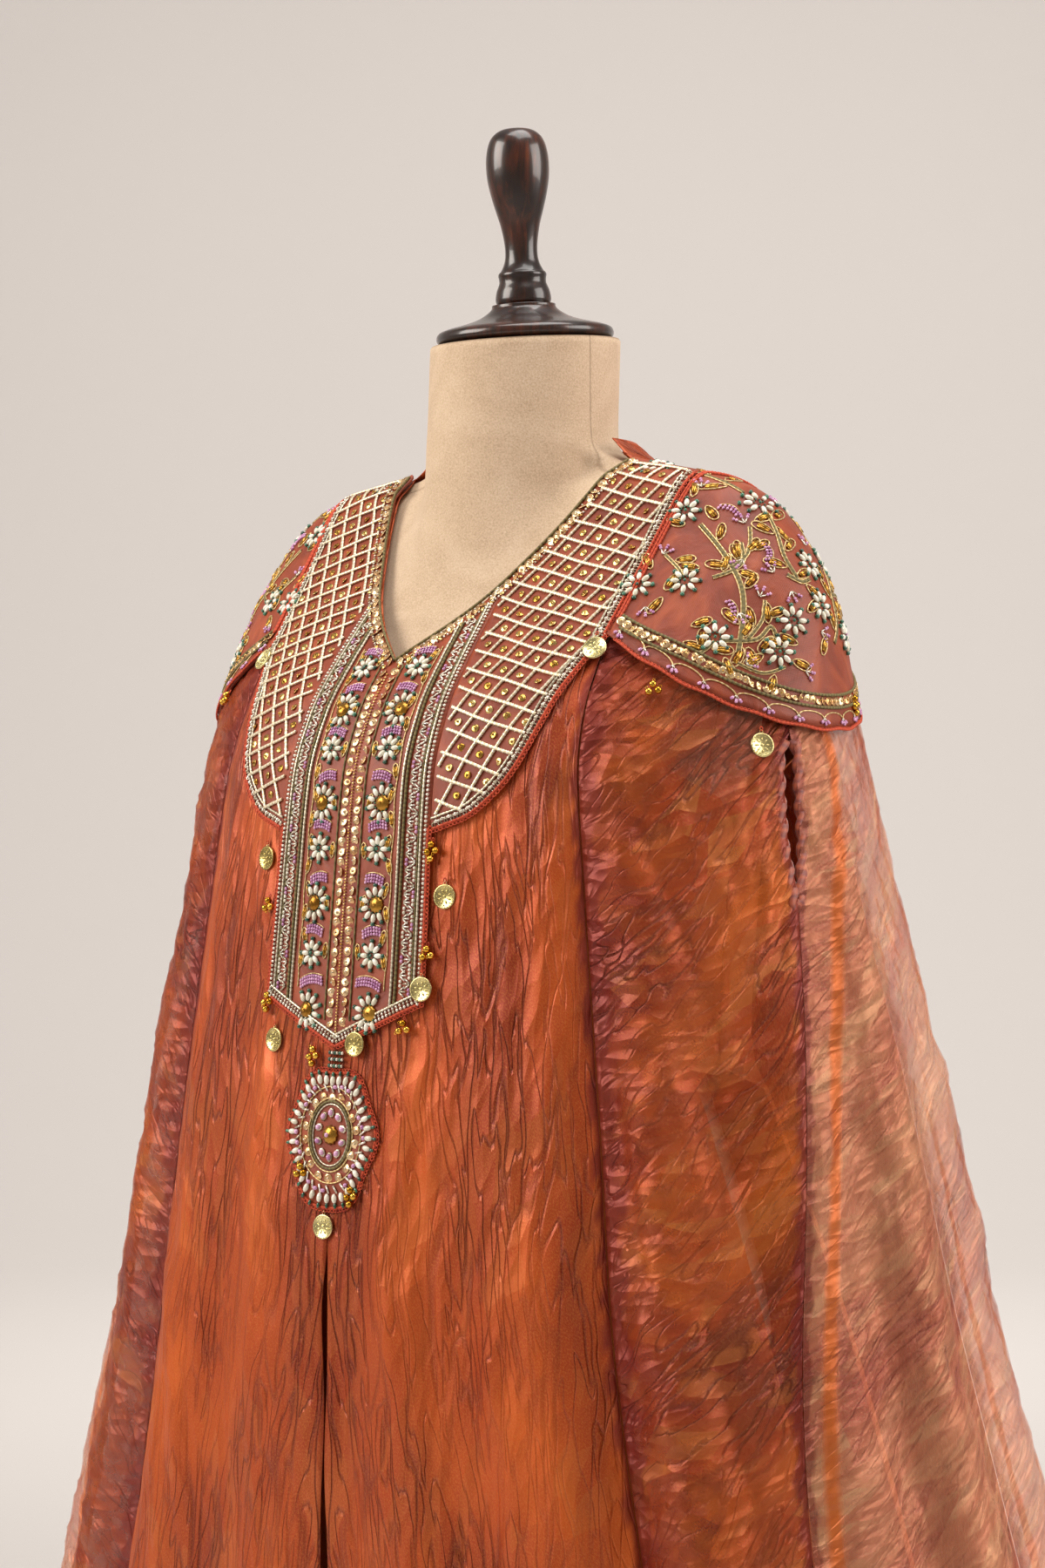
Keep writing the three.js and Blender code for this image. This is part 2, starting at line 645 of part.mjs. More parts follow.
// The form: a torso with rounded shoulders that flows into the neck.
function formBody(columns = 34) {
  const heights = [...formTable.map((row) => row.z), 1165, 1297, 1327, 1437, 1455,
    neckTop].sort((a, b) => a - b);
  const rings = heights.map((z) => {
    const ring = [];
    const bend = clamp((z - neckBase) / (neckTop - neckBase), 0, 1);
    const shrink = clamp((z - formTable[0].z) / 30, 0, 1);
    const flare = neckFlare.reach * clamp((neckFlare.from - z) / neckFlare.over, 0, 1) ** 2;
    for (let k = 0; k < columns; k++) {
      const turn = (360 * k) / columns;
      const even = torso.point(turn, z);
      const round = new THREE.Vector3(Math.cos(radians(turn)), -Math.sin(radians(turn)), 0);
      const rounded = z > neckline[0].z ? 1 : neckRound.below;
      const mix = clamp((z - neckRound.from) / neckRound.over, 0, 1) * rounded;
      const toward = even.clone().setZ(0).normalize().lerp(round, mix).normalize();
      const a = torso.half(z);
      const b = torso.point(toward.y < 0 ? 90 : 270, z).setX(0).setZ(0).length();
      const torsoReach = (1 - shrink) / Math.hypot(toward.x / a, toward.y / b);
      const neckGrown = clamp((z - neckFoot) / neckGrowth, 0, 1);
      const neckReach = (neckRadius + flare) * neckGrown;
      const reach = (torsoReach ** neckBlend + neckReach ** neckBlend) ** (1 / neckBlend);
      const point = toward.multiplyScalar(reach);
      const lean = Math.tan(radians(neckLean)) * bend;
      ring.push(new THREE.Vector3(point.x, point.y + neckShift * bend, z + lean * point.y));
    }
    return ring;
  });
  const points = rings.flat();
  const faces = [];
  for (let j = 0; j < rings.length - 1; j++) {
    for (let k = 0; k < columns; k++) {
      const next = (k + 1) % columns;
      const [a, b] = [j * columns + k, j * columns + next];
      faces.push([a, b, b + columns], [a, b + columns, a + columns]);
    }
  }
  for (const [ring, flip] of [[0, true], [rings.length - 1, false]]) {
    const middle = new THREE.Vector3();
    rings[ring].forEach((p) => middle.addScaledVector(p, 1 / columns));
    points.push(middle);
    for (let k = 0; k < columns; k++) {
      const [a, b] = [ring * columns + k, ring * columns + ((k + 1) % columns)];
      faces.push(flip ? [points.length - 1, b, a] : [points.length - 1, a, b]);
    }
  }
  return solid(points, faces);
}

// Turned wood: the neck cap, and the finial that stands on it.
const capProfile = [[0, 0], [54, 0], [57.5, 2], [58.3, 5], [57, 8], [52, 10], [42, 12.5],
  [30, 16.5], [23, 21], [20.9, 25], [0, 25]];
const finialProfile = [[0, 0], [17.6, 0], [18.2, 4], [17.2, 9], [15.6, 14], [15.4, 17], [15.9, 19],
  [14.4, 21.5], [12, 26], [10.6, 34], [11, 42], [13, 52], [16.4, 64], [19.3, 76], [20.6, 88],
  [20, 98], [17.6, 107], [13, 112.5], [6, 114.2], [0, 114.5]];

function turned(profile, segments) {
  const shape = new THREE.LatheGeometry(profile.map(([r, z]) => new THREE.Vector2(r, z)), segments);
  shape.rotateX(Math.PI / 2);
  return shape;
}

function placeOnNeck(mesh, along) {
  const lean = radians(neckLean);
  mesh.rotation.x = lean;
  mesh.position.set(0, neckShift - along * Math.sin(lean), neckTop + along * Math.cos(lean));
}

function coin(segments = 14) {
  const { radius, rim, thick, field } = coinSize;
  return turned([[0, 0], [radius, 0], [radius, thick], [rim, thick], [rim - 0.4, field],
    [0, field]], segments);
}

add("stand_foot", turned([[0, 0], [footRadius, 0], [footRadius, 6], [footRadius - 10, 12],
  [40, footHeight], [0, footHeight]], 32), standMetal);
const poleLength = formFloor - footHeight - 2 * layerGap;
const pole = new THREE.CylinderGeometry(poleRadius, poleRadius, poleLength, 20);
pole.rotateX(Math.PI / 2);
add("stand_pole", pole, standMetal).position.z = footHeight + layerGap + poleLength / 2;
add("form_body", formBody(), suede);
placeOnNeck(add("form_neck_cap", turned(capProfile, 26), turnedWood), layerGap);
placeOnNeck(add("form_finial", turned(finialProfile, 20), turnedWood),
  2 * layerGap + capProfile[capProfile.length - 1][1]);

for (const [side, hand] of [[1, "left"], [-1, "right"]]) {
  add(`front_${hand}`, frontPanel(side), linedCloth);
  add(`side_panel_${hand}`, sidePanel(side), sheerCloth);
  add(`sleeve_${hand}`, sleevePanel(side), sheerCloth);
  add(`shoulder_cap_${hand}`, shoulderCap(side), yokeCloth);
  add(`yoke_${hand}`, yokePanel(side), yokeCloth);
}
add("back", backPanel(), linedCloth);
add("lining_front", liningHalf(true), liningCloth);
add("lining_back", liningHalf(false), liningCloth);
add("placket", placket(), beadwork);
add("medallion", medallion(), beadwork);

for (const place of coins) {
  const turn = place.turn ?? garment.turnAt(place.x, place.z);
  const normal = garment.normal(turn, place.z);
  const mesh = add(place.name, coin(), goldCoin);
  mesh.position.copy(garment.point(turn, place.z).addScaledVector(normal, coinSize.lift + place.over));
  mesh.quaternion.setFromUnitVectors(new THREE.Vector3(0, 0, 1), normal);
}

export default group;
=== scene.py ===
import math
from functools import partial

import bpy
import numpy as np
from mathutils import Matrix, Vector, noise


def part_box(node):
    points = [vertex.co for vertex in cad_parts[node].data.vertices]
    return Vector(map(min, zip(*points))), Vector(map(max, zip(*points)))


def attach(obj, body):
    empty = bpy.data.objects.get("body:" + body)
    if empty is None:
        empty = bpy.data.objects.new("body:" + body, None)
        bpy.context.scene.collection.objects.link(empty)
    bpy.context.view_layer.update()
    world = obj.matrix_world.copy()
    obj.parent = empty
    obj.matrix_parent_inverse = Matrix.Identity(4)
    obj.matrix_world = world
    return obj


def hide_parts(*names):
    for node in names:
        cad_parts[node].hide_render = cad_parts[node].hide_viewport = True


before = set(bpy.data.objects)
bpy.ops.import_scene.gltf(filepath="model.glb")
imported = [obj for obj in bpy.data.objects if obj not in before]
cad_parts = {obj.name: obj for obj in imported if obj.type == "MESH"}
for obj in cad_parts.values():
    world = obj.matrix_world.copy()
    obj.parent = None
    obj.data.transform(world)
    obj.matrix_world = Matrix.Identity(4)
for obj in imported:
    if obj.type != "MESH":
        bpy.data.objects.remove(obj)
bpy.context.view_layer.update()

mm = 0.001
scene = bpy.context.scene
for anything in bpy.context.selected_objects:
    anything.select_set(False)


def clamp(value, low=0.0, high=1.0):
    return np.minimum(np.maximum(value, low), high)


def lerp(a, b, share):
    return a + (b - a) * share


def smooth(low, high, value):
    share = clamp((value - low) / (high - low))
    return share * share * (3 - 2 * share)


def unit(vectors):
    return vectors / np.maximum(np.linalg.norm(vectors, axis=-1, keepdims=True), 1e-12)


def smoothColumn(at, value):  # a smooth curve through one column of a table, no overshoot
    order = np.argsort(at)
    x = np.array(at, float)[order]
    y = np.array(value, float)[order]
    rise = np.diff(y) / np.diff(x)
    before = np.concatenate([rise[:1], rise])
    after = np.concatenate([rise, rise[-1:]])
    total = np.where(before + after == 0, 1, before + after)
    slope = np.where(before * after <= 0, 0, 2 * before * after / total)

    def read(where):
        w = np.clip(where, x[0], x[-1])
        k = np.clip(np.searchsorted(x, w, side="left") - 1, 0, len(x) - 2)
        step = x[k + 1] - x[k]
        t = (w - x[k]) / step
        held = y[k] * (1 + 2 * t) * (1 - t) ** 2 + y[k + 1] * t * t * (3 - 2 * t)
        return held + step * (slope[k] * t * (1 - t) ** 2 - slope[k + 1] * t * t * (1 - t))
    return read


def hexColour(text):  # sRGB hex to linear
    def linear(c):
        return c / 12.92 if c <= 0.04045 else ((c + 0.055) / 1.055) ** 2.4
    return tuple(linear(int(text[i:i + 2], 16) / 255) for i in (1, 3, 5)) + (1.0,)


def setInputs(node, inputs):  # values, hex colours, sockets, or a node for its first output
    for name, value in inputs.items() if isinstance(inputs, dict) else enumerate(inputs):
        if isinstance(value, bpy.types.Node):
            value = value.outputs[0]
        if isinstance(value, bpy.types.NodeSocket):
            node.id_data.links.new(value, node.inputs[name])
        elif value is not None:
            node.inputs[name].default_value = hexColour(value) if isinstance(value, str) else value


def addNode(tree, kind, inputs=(), stops=(), **settings):
    node = tree.nodes.new("ShaderNode" + kind)
    for name, value in settings.items():
        setattr(node, name, value)
    setInputs(node, inputs)
    while len(stops) > 2 and len(node.color_ramp.elements) < len(stops):
        node.color_ramp.elements.new(0.5)
    for k, (place, colour) in enumerate(stops):
        node.color_ramp.elements[k].position = place
        node.color_ramp.elements[k].color = hexColour(colour)
    return node


def newMaterial(name, settings):  # the material, its shader, and addNode for its tree
    material = bpy.data.materials.new(name)
    material.use_nodes = True
    shader = material.node_tree.nodes["Principled BSDF"]
    setInputs(shader, settings)
    return material, shader, partial(addNode, material.node_tree)


def makeObject(name, points, faces, material, uv=None, values=None):
    mesh = bpy.data.meshes.new(name)
    mesh.from_pydata(np.asarray(points).tolist(), [],
                     faces.tolist() if isinstance(faces, np.ndarray) else faces)
    mesh.polygons.foreach_set("use_smooth", [True] * len(mesh.polygons))
    if uv is not None:
        layer = mesh.uv_layers.new(name="cloth")
        corner = np.zeros(len(mesh.loops), np.int32)
        mesh.loops.foreach_get("vertex_index", corner)
        layer.data.foreach_set("uv", np.asarray(uv, np.float32)[corner].ravel())
    for key, value in (values or {}).items():
        mesh.attributes.new(key, "FLOAT", "POINT").data.foreach_set(
            "value", np.asarray(value, np.float32).ravel())
    mesh.materials.append(material)
    mesh.validate()
    made = bpy.data.objects.new(name, mesh)
    scene.collection.objects.link(made)
    return made


def settle(made, slot, *nodes):  # every piece rides on the one body
    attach(made, "root")
    if nodes:
        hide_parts(*nodes)
    return made


def select(*chosen):
    for anything in bpy.context.selected_objects:
        anything.select_set(False)
    for one in chosen:
        one.select_set(True)
    bpy.context.view_layer.objects.active = chosen[0]


def ringFaces(rows, around, closed=False):  # four-sided faces between rings of points
    j, k = np.arange(rows)[:, None], np.arange(around)[None]
    low, high, after = j * around, (j + 1) % (rows if closed else rows + 1) * around, (k + 1) % around
    return [tuple(f) for f in np.stack([low + k, low + after, high + after, high + k], axis=-1)
            .reshape(-1, 4).tolist()]


def curveAt(spots, k, t):  # a smooth curve through points, a share t of the way from point k to the next
    t = np.asarray(t)[..., None]
    p0, p1, p2, p3 = (spots[np.clip(k + d, 0, len(spots) - 1)] for d in (-1, 0, 1, 2))
    v0, v1 = (p2 - p0) / 2, (p3 - p1) / 2
    return (2 * p1 - 2 * p2 + v0 + v1) * t ** 3 + (-3 * p1 + 3 * p2 - 2 * v0 - v1) * t * t + v0 * t + p1


def throughPoints(points, each=8):
    spots = np.array(points, float)
    k, part = np.divmod(np.arange((len(spots) - 1) * each), each)
    return np.concatenate([curveAt(spots, k, part / each), spots[-1:]])


# The camera, the stage and the lights.

view = {"distance": 2.10, "height": 1.206, "azimuth": 40, "lens": 73.5}
azimuth = math.radians(view["azimuth"])
towardCamera = Vector((math.sin(azimuth), -math.cos(azimuth), 0))
cameraData = bpy.data.cameras.new("camera")
cameraData.lens = view["lens"]
cameraData.sensor_width = 36
cameraObject = bpy.data.objects.new("camera", cameraData)
cameraObject.location = towardCamera * view["distance"] + Vector((0, 0, view["height"]))
cameraObject.rotation_euler = (math.pi / 2, 0, azimuth)
scene.collection.objects.link(cameraObject)
scene.camera = cameraObject

stage = {"radius": 9.0, "rise": 3.0, "height": 12.0, "around": 64, "colour": "#ECEAE8"}
stageMaterial, stageShader, add = newMaterial("painted plaster", {
    "Base Color": stage["colour"], "Roughness": 0.9})  # matt paint on a smooth wall
cloud = add("TexNoise", {"Scale": 0.6, "Detail": 2.0})
setInputs(stageShader, {"Base Color": add("ValToRGB", (cloud,), ((0.3, "#E4DFDB"), (0.7, "#EAE6E3")))})
profile = [(0.001, 0)] + [
    (stage["radius"] - stage["rise"] * (1 - math.sin(a)), stage["rise"] * (1 - math.cos(a)))
    for a in np.linspace(0, math.pi / 2, 12)] + [(stage["radius"], stage["height"])]
stagePoints = [(r * math.cos(a), r * math.sin(a), z) for r, z in profile
               for a in np.arange(stage["around"]) * 2 * math.pi / stage["around"]]
stageFaces = [face[::-1] for face in ringFaces(len(profile) - 1, stage["around"])]
makeObject("studio_floor", stagePoints, stageFaces, stageMaterial)

lights = {  # place across, towards the camera and up; size; watts; colour
    "key": {"at": (-2.6, 0.6, 2.5), "size": 1.8, "power": 84, "colour": "#FFF8F0"},
    "fill": {"at": (2.5, 0.7, 2.2), "size": 1.8, "power": 54, "colour": "#FFF8F2"},
    "top": {"at": (0.3, 0.3, 3.5), "size": 1.8, "power": 50, "colour": "#FFFCF8"},
    "wall": {"at": (0.4, -4.2, 3.6), "size": 4.0, "power": 130, "colour": "#FFFAF6"},
}
across = Vector((math.cos(azimuth), math.sin(azimuth), 0))
for name, light in lights.items():
    data = bpy.data.lights.new(name, "AREA")
    data.size = light["size"]
    data.energy = light["power"]
    data.color = hexColour(light["colour"])[:3]
    lamp = bpy.data.objects.new(name, data)
    lamp.location = across * light["at"][0] + towardCamera * light["at"][1] + Vector((0, 0, light["at"][2]))
    aim = Vector((0, 0, 1.1)) if name != "wall" else towardCamera * -8 + Vector((0, 0, 1.2))
    lamp.rotation_euler = (aim - lamp.location).to_track_quat("-Z", "Y").to_euler()
    scene.collection.objects.link(lamp)
world = bpy.data.worlds.new("studio")
world.use_nodes = True
world.node_tree.nodes["Background"].inputs["Color"].default_value = hexColour("#F2F1F1")
world.node_tree.nodes["Background"].inputs["Strength"].default_value = 0.38
scene.world = world
print("camera, stage and lights")


# The worn surface that every piece of cloth follows.

cut = {  # driving sizes of the garment
    "hem": 45, "wall": 1.5, "seamGap": 0.4, "layerGap": 0.3, "frontSeam": 53, "backSeam": -50,
    "capSeam": 1295, "capSeamTop": 150, "capSeamFoot": 142, "capSide": 1239, "capFront": 1296,
    "capTuck": 16, "slitTop": 1236, "slitEnd": 1140, "slitCapTurn": 12.2, "slitOpening": 9,
    "frontSlitTop": 931, "frontSlitOpening": 4, "yokeFoot": 1178,
}
garmentShape = {
    "z": (1428, 1412, 1404, 1397, 1386, 1372, 1346, 1320, 1283, 1250, 1210, 1140, 1000, 870,
          730, 660, 450, 250, 45),
    "half": (75, 94, 125, 156, 181, 197, 216, 229, 237, 240, 247, 263, 295, 321, 361, 381,
             430, 470, 505),
    "front": (3, 6, 17, 28, 37, 48, 69, 90, 121, 144, 159, 167, 180, 189, 191, 193, 205, 222, 240),
    "back": (77, 89, 96, 102, 107, 112, 120, 130, 141, 155, 168, 184, 220, 250, 278, 292, 325,
             350, 372),
}
liningShape = {
    "z": (1300, 1262, 1200, 1130, 1040, 1000, 850, 600, 300, 95),
    "half": (231, 236, 176, 166, 160, 176, 232, 300, 352, 384),
    "front": (102, 133.4, 148, 140, 128, 134, 152, 164, 176, 186),
    "back": (133.2, 138, 134, 128, 128, 142, 176, 214, 244, 262),
}
folds = {  # turn, spread in degrees, depth at the hem and the height where each begins
    "turn": (87, 80, 72, 62, 53, 45, 37, 25, 12, 1, -10, -22, -36, -47, -58, -71, -84, -97,
             -110, -122, -135, -149, -163, -176, 171, 158, 146, 136, 127, 118, 108, 98),
    "spread": (3.5, 4.5, 4, 5, 3.5, 4.5, 3.5, 5, 4, 4.5, 4, 5, 4.5, 4, 4.5, 5, 4, 5, 4.5, 4.5,
               4.5, 5, 4.5, 4.5, 4, 5, 3.5, 4.5, 3.5, 5, 4, 5),
    "depth": (-9, 11, -10, 14, -22, 17, -13, 15, -18, 20, -16, 18, -18, 14, -16, 18, -14, 15,
              -17, 15, -15, 18, -16, 19, -17, 14, -12, 16, -21, 13, -9, 10),
    "begins": (1000, 1080, 1150, 1200, 1290, 1270, 1180, 1220, 1230, 1260, 1200, 1240, 1180,
               1100, 1120, 1180, 1060, 1140, 1160, 1090, 1170, 1230, 1190, 1250, 1230, 1220,
               1190, 1270, 1290, 1190, 1100, 1040),
}
liningFolds = {"turn": tuple(range(0, 360, 30)), "spread": (9,) * 12, "depth": (9,) * 12,
               "begins": (980,) * 12}


class WornSurface:  # points and outward normals by turn (degrees) and height (millimetres)
    def __init__(self, shape, folded=None, hem=cut["hem"]):
        self.half, self.front, self.back = (
            smoothColumn(shape["z"], shape[key]) for key in ("half", "front", "back"))
        self.folds = np.array([folded[k] for k in ("turn", "spread", "depth", "begins")], float) \
            if folded else None
        self.hem = hem

    def foldDepth(self, turn, z):
        if self.folds is None or np.min(z) > self.folds[3].max():
            return np.zeros(turn.shape)
        at, spread, deep, begins = self.folds
        away = np.abs((turn[..., None] - at + 540) % 360 - 180) / (2 * spread)
        grown = clamp((begins - z[..., None]) / (begins - self.hem)) ** 0.8
        return np.sum(np.where(away < 1, deep * grown * np.cos(away * math.pi / 2) ** 2, 0), axis=-1)

    def pointMm(self, turn, z):
        turn, z = np.broadcast_arrays(np.asarray(turn, float), np.asarray(z, float))
        angle = np.radians(turn)
        a = self.half(z)
        b = np.where(np.sin(angle) >= 0, self.front(z), self.back(z))
        outX, outY = b * np.cos(angle), -a * np.sin(angle)
        size = np.maximum(np.hypot(outX, outY), 1e-9)
        depth = self.foldDepth(turn, z)
        return np.stack([a * np.cos(angle) + depth * outX / size,
                         -b * np.sin(angle) + depth * outY / size, z], axis=-1)

    def normal(self, turn, z):
        turn, z = np.asarray(turn, float), np.asarray(z, float)
        roundAbout = self.pointMm(turn + 0.5, z) - self.pointMm(turn - 0.5, z)
        up = self.pointMm(turn, z + 1) - self.pointMm(turn, z - 1)
        return unit(np.cross(up, roundAbout))

    def at(self, turn, z, lift=0.0):  # metres
        lift = np.asarray(lift, float)[..., None]
        return (self.pointMm(turn, z) + self.normal(turn, z) * lift) * mm

    def turnAt(self, x, z):
        return np.degrees(np.arccos(clamp(x / self.half(z), -1, 1)))


garment = WornSurface(garmentShape, folds)
lining = WornSurface(liningShape, liningFolds, 95)
neckline = {"z": (1412, 1372, 1344, 1327, 1310, 1282), "half": (94, 76, 60, 49, 34, 0)}
neckHalf = smoothColumn(neckline["z"], neckline["half"])
neckHeightAt = smoothColumn(neckline["half"], neckline["z"])
ridgeZ = np.linspace(1283, 1428, 400)
ridgeHalf = garment.half(ridgeZ)


def ridgeHeight(x):  # the shoulder line: the height where the garment is that wide
    return np.interp(-np.asarray(x, float), -ridgeHalf, ridgeZ)


capSeamTopZ = float(ridgeHeight(cut["capSeamTop"]))


def capSeamX(z):
    return lerp(cut["capSeamFoot"], cut["capSeamTop"],
                clamp((z - cut["capSeam"]) / (capSeamTopZ - cut["capSeam"])))


def capHem(turn):
    return lerp(cut["capSide"], cut["capFront"], clamp(turn / cut["frontSeam"], -1, 1) ** 2)


slitTurn = smoothColumn((1236, 1148, 954, 762, 450, 45), (12.2, 15.6, 24.3, 31.4, 36.5, 39))


def slitHalfGap(z):  # half the gap between the edges of the arm slit, in degrees
    opened = clamp((cut["slitTop"] - z) / 14) * clamp((z - cut["slitEnd"]) / 30)
    turn = slitTurn(z)
    perDegree = np.linalg.norm(garment.pointMm(turn + 0.5, z) - garment.pointMm(turn - 0.5, z), axis=-1)
    return (cut["seamGap"] + cut["slitOpening"] * opened) / 2 / perDegree


def mirrored(turn, side):
    return turn if side > 0 else 180 - turn


yokeEdge = np.array([(142, 1295), (129, 1264), (114, 1217), (92, 1190), (70, 1180), (64, 1178)], float)


def yokeCurve(share):  # the yoke's outer edge
    share = clamp(np.asarray(share, float)) * (len(yokeEdge) - 1)
    k = share.astype(int)
    return curveAt(yokeEdge, k, share - k)


placketShape = {"topHalf": 52, "footHalf": 64, "corner": 1073, "point": 1044}
placketTopZ = float(neckHeightAt(placketShape["topHalf"]))


def placketHalf(z):
    return lerp(placketShape["topHalf"], placketShape["footHalf"],
                clamp((placketTopZ - z) / 250) ** 0.5)


def bustLift(z):  # distance of an applied piece's inner face from the cloth below it
    return cut["layerGap"] + 0.1 + 0.5 * clamp((1295 - z) / 20)


def yokeLift(z):
    return bustLift(z) + 1.9 * clamp((z - 1350) / 50)


# Cloth: shells on fine grids.

def shellOf(name, outer, inner, material, uv, values=None):  # two walls and the rim between them
    rows, columns = outer.shape[0] - 1, outer.shape[1] - 1
    count = outer.shape[0] * outer.shape[1]
    index = np.arange(count).reshape(rows + 1, columns + 1)
    face = np.stack([index[:-1, :-1], index[:-1, 1:], index[1:, 1:], index[1:, :-1]], axis=-1)
    face = face.reshape(-1, 4)
    loop = np.concatenate([index[0, :-1], index[:-1, -1], index[-1, :0:-1], index[:0:-1, 0]])
    after = np.roll(loop, -1)
    rim = np.stack([loop, loop + count, after + count, after], axis=1)
    outward = np.cross(outer[:-1, 1:] - outer[:-1, :-1], outer[1:, :-1] - outer[:-1, :-1])
    if np.sum(outward * (outer[:-1, :-1] - inner[:-1, :-1])) < 0:
        face, rim = face[:, ::-1], rim[:, ::-1]
    return makeObject(name, np.concatenate([outer.reshape(-1, 3), inner.reshape(-1, 3)]),
                      np.concatenate([face, face[:, ::-1] + count, rim]), material,
                      np.concatenate([uv.reshape(-1, 2)] * 2),
                      {key: np.tile(np.ravel(value), 2) for key, value in (values or {}).items()})


def clothUv(points):  # metres along the cloth, across from its middle column and down
    side = np.linalg.norm(np.diff(points, axis=1), axis=-1)
    down = np.linalg.norm(np.diff(points, axis=0), axis=-1)
    u = np.concatenate([np.zeros((points.shape[0], 1)), np.cumsum(side, axis=1)], axis=1)
    u = u - u[:, points.shape[1] // 2][:, None]
    v = np.concatenate([np.zeros((1, points.shape[1])), np.cumsum(down, axis=0)], axis=0)
    return np.stack([u, -v], axis=-1)


def layCreases(uv, creases):  # listed troughs and ridges, in millimetres
    u, v = uv[..., 0], uv[..., 1]
    rows, columns = u.shape
    depth = np.zeros(u.shape)
    for shareAcross, shareDown, length, lean, width, deep in creases:
        row = int(clamp(shareDown) * (rows - 1))
        middle = u[row, int(clamp(shareAcross) * (columns - 1))]
        du, dv = u - middle, v - v[row, columns // 2]
        c, s = math.cos(math.radians(lean)), math.sin(math.radians(lean))
        along, aside = -dv * c + du * s, du * c + dv * s
        aside = aside + 0.12 * length * mm * np.sin(along / (0.31 * length * mm) + lean) * 0.3
        fade = np.where(np.abs(along) < length * mm / 2, np.cos(math.pi * along / (length * mm)) ** 2, 0)
        depth += deep * fade * np.exp(-(aside / (width * mm)) ** 2)
    return depth


def crumple(uv, seed, lean, wide, long, deep):  # crushed cloth: sharp ridges between soft hollows
    c, s = math.cos(math.radians(lean)), math.sin(math.radians(lean))
    u, v = uv[..., 0].ravel(), uv[..., 1].ravel()
    aside, along = (u * c + v * s) / (wide * mm), (u * -s + v * c) / (long * mm)
    out = np.empty(len(u))
    for k in range(len(u)):
        spot = Vector((aside[k], along[k], seed))
        bend = noise.noise(spot * 0.4)
        out[k] = abs(noise.noise(spot + Vector((bend * 1.3, bend * 0.8, 0)))) \
            + 0.45 * abs(noise.noise(spot * 2.3))
    return deep * (0.42 - out).reshape(uv.shape[:2])


def edgeFade(uv, left, right, top):  # 0 at the seams, 1 inside
    u, v = uv[..., 0], uv[..., 1]
    fade = smooth(0, left * mm, u - u[:, :1]) * smooth(0, right * mm, u[:, -1:] - u)
    return fade * smooth(top * mm * 0.35, top * mm, -v)


clothThick = 0.7  # one layer, with the air that crushing traps in it


def hangCloth(name, turn, z, lift, material, slotName, nodeName, creases, crushed, fade,
              bands, clear=1, gather=0, surface=garment):
    base = surface.at(turn, z, lift)
    uv = clothUv(base)
    depth = layCreases(uv, creases)
    for k, layer in enumerate(crushed):
        depth = depth + crumple(uv, 3.7 * k + len(name), *layer)
    if gather:
        u, v = uv[..., 0], uv[..., 1]
        ripple = np.sin(2 * math.pi * u / 0.0135 + 1.6 * np.sin(u / 0.021)) * (0.7 + 0.3 * np.sin(u / 0.05))
        depth = depth + gather * ripple * smooth(0.012, 0.03, -v) * np.exp(v / 0.09)
    depth = depth * edgeFade(uv, *fade) * clear
    outer, inner = (surface.at(turn, z, lift + depth - wall) for wall in (0, clothThick))
    made = shellOf(name, outer, inner, material, uv, bands)
    settle(made, slotName, nodeName)


rowBase = np.array([1312, 1283, 1262, 1238, 1210, 1170, 1110, 1030, 940, 840, 730, 600, 450,
                    300, 165, 45], float)
rowPull = np.array([1, 0.66, 0.42, 0.22, 0.1, 0.03] + [0] * 10, float)
lowZ = 1283


def frontPanel(side, columns=54, upper=22, lower=150):
    s = np.linspace(0, 1, columns + 1)[None, :]
    fall = (np.linspace(0, 1, upper + 1) ** 1.9)[:, None]
    edge = math.cos(math.radians(cut["frontSeam"]))
    topX = lerp(neckline["half"][0], cut["capSeamTop"] - cut["seamGap"], s)
    innerZ = lerp(1412, lowZ, fall)
    outerZ = lerp(ridgeHeight(topX), lowZ, fall)
    seamX = np.where(outerZ > cut["capSeam"], capSeamX(outerZ), garment.half(outerZ) * edge)
    upperZ = lerp(innerZ, outerZ, s)
    upperX = np.where(fall == 0, topX, lerp(neckHalf(innerZ), seamX - cut["seamGap"], s))
    z = np.linspace(lowZ, cut["hem"], lower + 1)[1:, None]
    wander = 1.2 * np.sin(z / 47) + 0.8 * np.sin(z / 19 + side)  # the slit's edge isn't ruled
    parting = (cut["frontSlitOpening"] / 2 + wander) * smooth(0, 50, cut["frontSlitTop"] - z)
    lowerX = lerp(cut["seamGap"] / 2 + parting, garment.half(z) * edge - cut["seamGap"], s)
    x = np.maximum(np.concatenate([upperX, lowerX]), cut["seamGap"] / 2)
    z = np.concatenate([upperZ, z + 0 * s])
    return mirrored(np.maximum(garment.turnAt(x, z), 0.3), side), z, x


def sideRows(capTurn, rows):
    topZ = capHem(capTurn) + cut["capTuck"]
    index = np.arange(len(rowBase))
    z = np.interp(rows, index, rowBase) + (topZ - rowBase[0]) * np.interp(rows, index, rowPull)
    return z, 1.3 * clamp((z - capHem(capTurn) + 14) / 14)


def evenRows(count):  # row numbers that are evenly spaced in height
    heights = np.linspace(rowBase[0], rowBase[-1], count + 1)
    return np.interp(-heights, -rowBase, np.arange(len(rowBase)))[:, None]


def sidePanel(side, columns=44, rows=160):
    s = np.linspace(0, 1, columns + 1)[None, :]
    z, tucked = sideRows(lerp(cut["frontSeam"], cut["slitCapTurn"], s), evenRows(rows))
    begin = np.where(z > cut["capSeam"], garment.turnAt(capSeamX(z) + 2 * cut["seamGap"], z),
                     cut["frontSeam"] - 0.2)
    return mirrored(lerp(begin, slitTurn(z) + slitHalfGap(z), s), side), z, -tucked


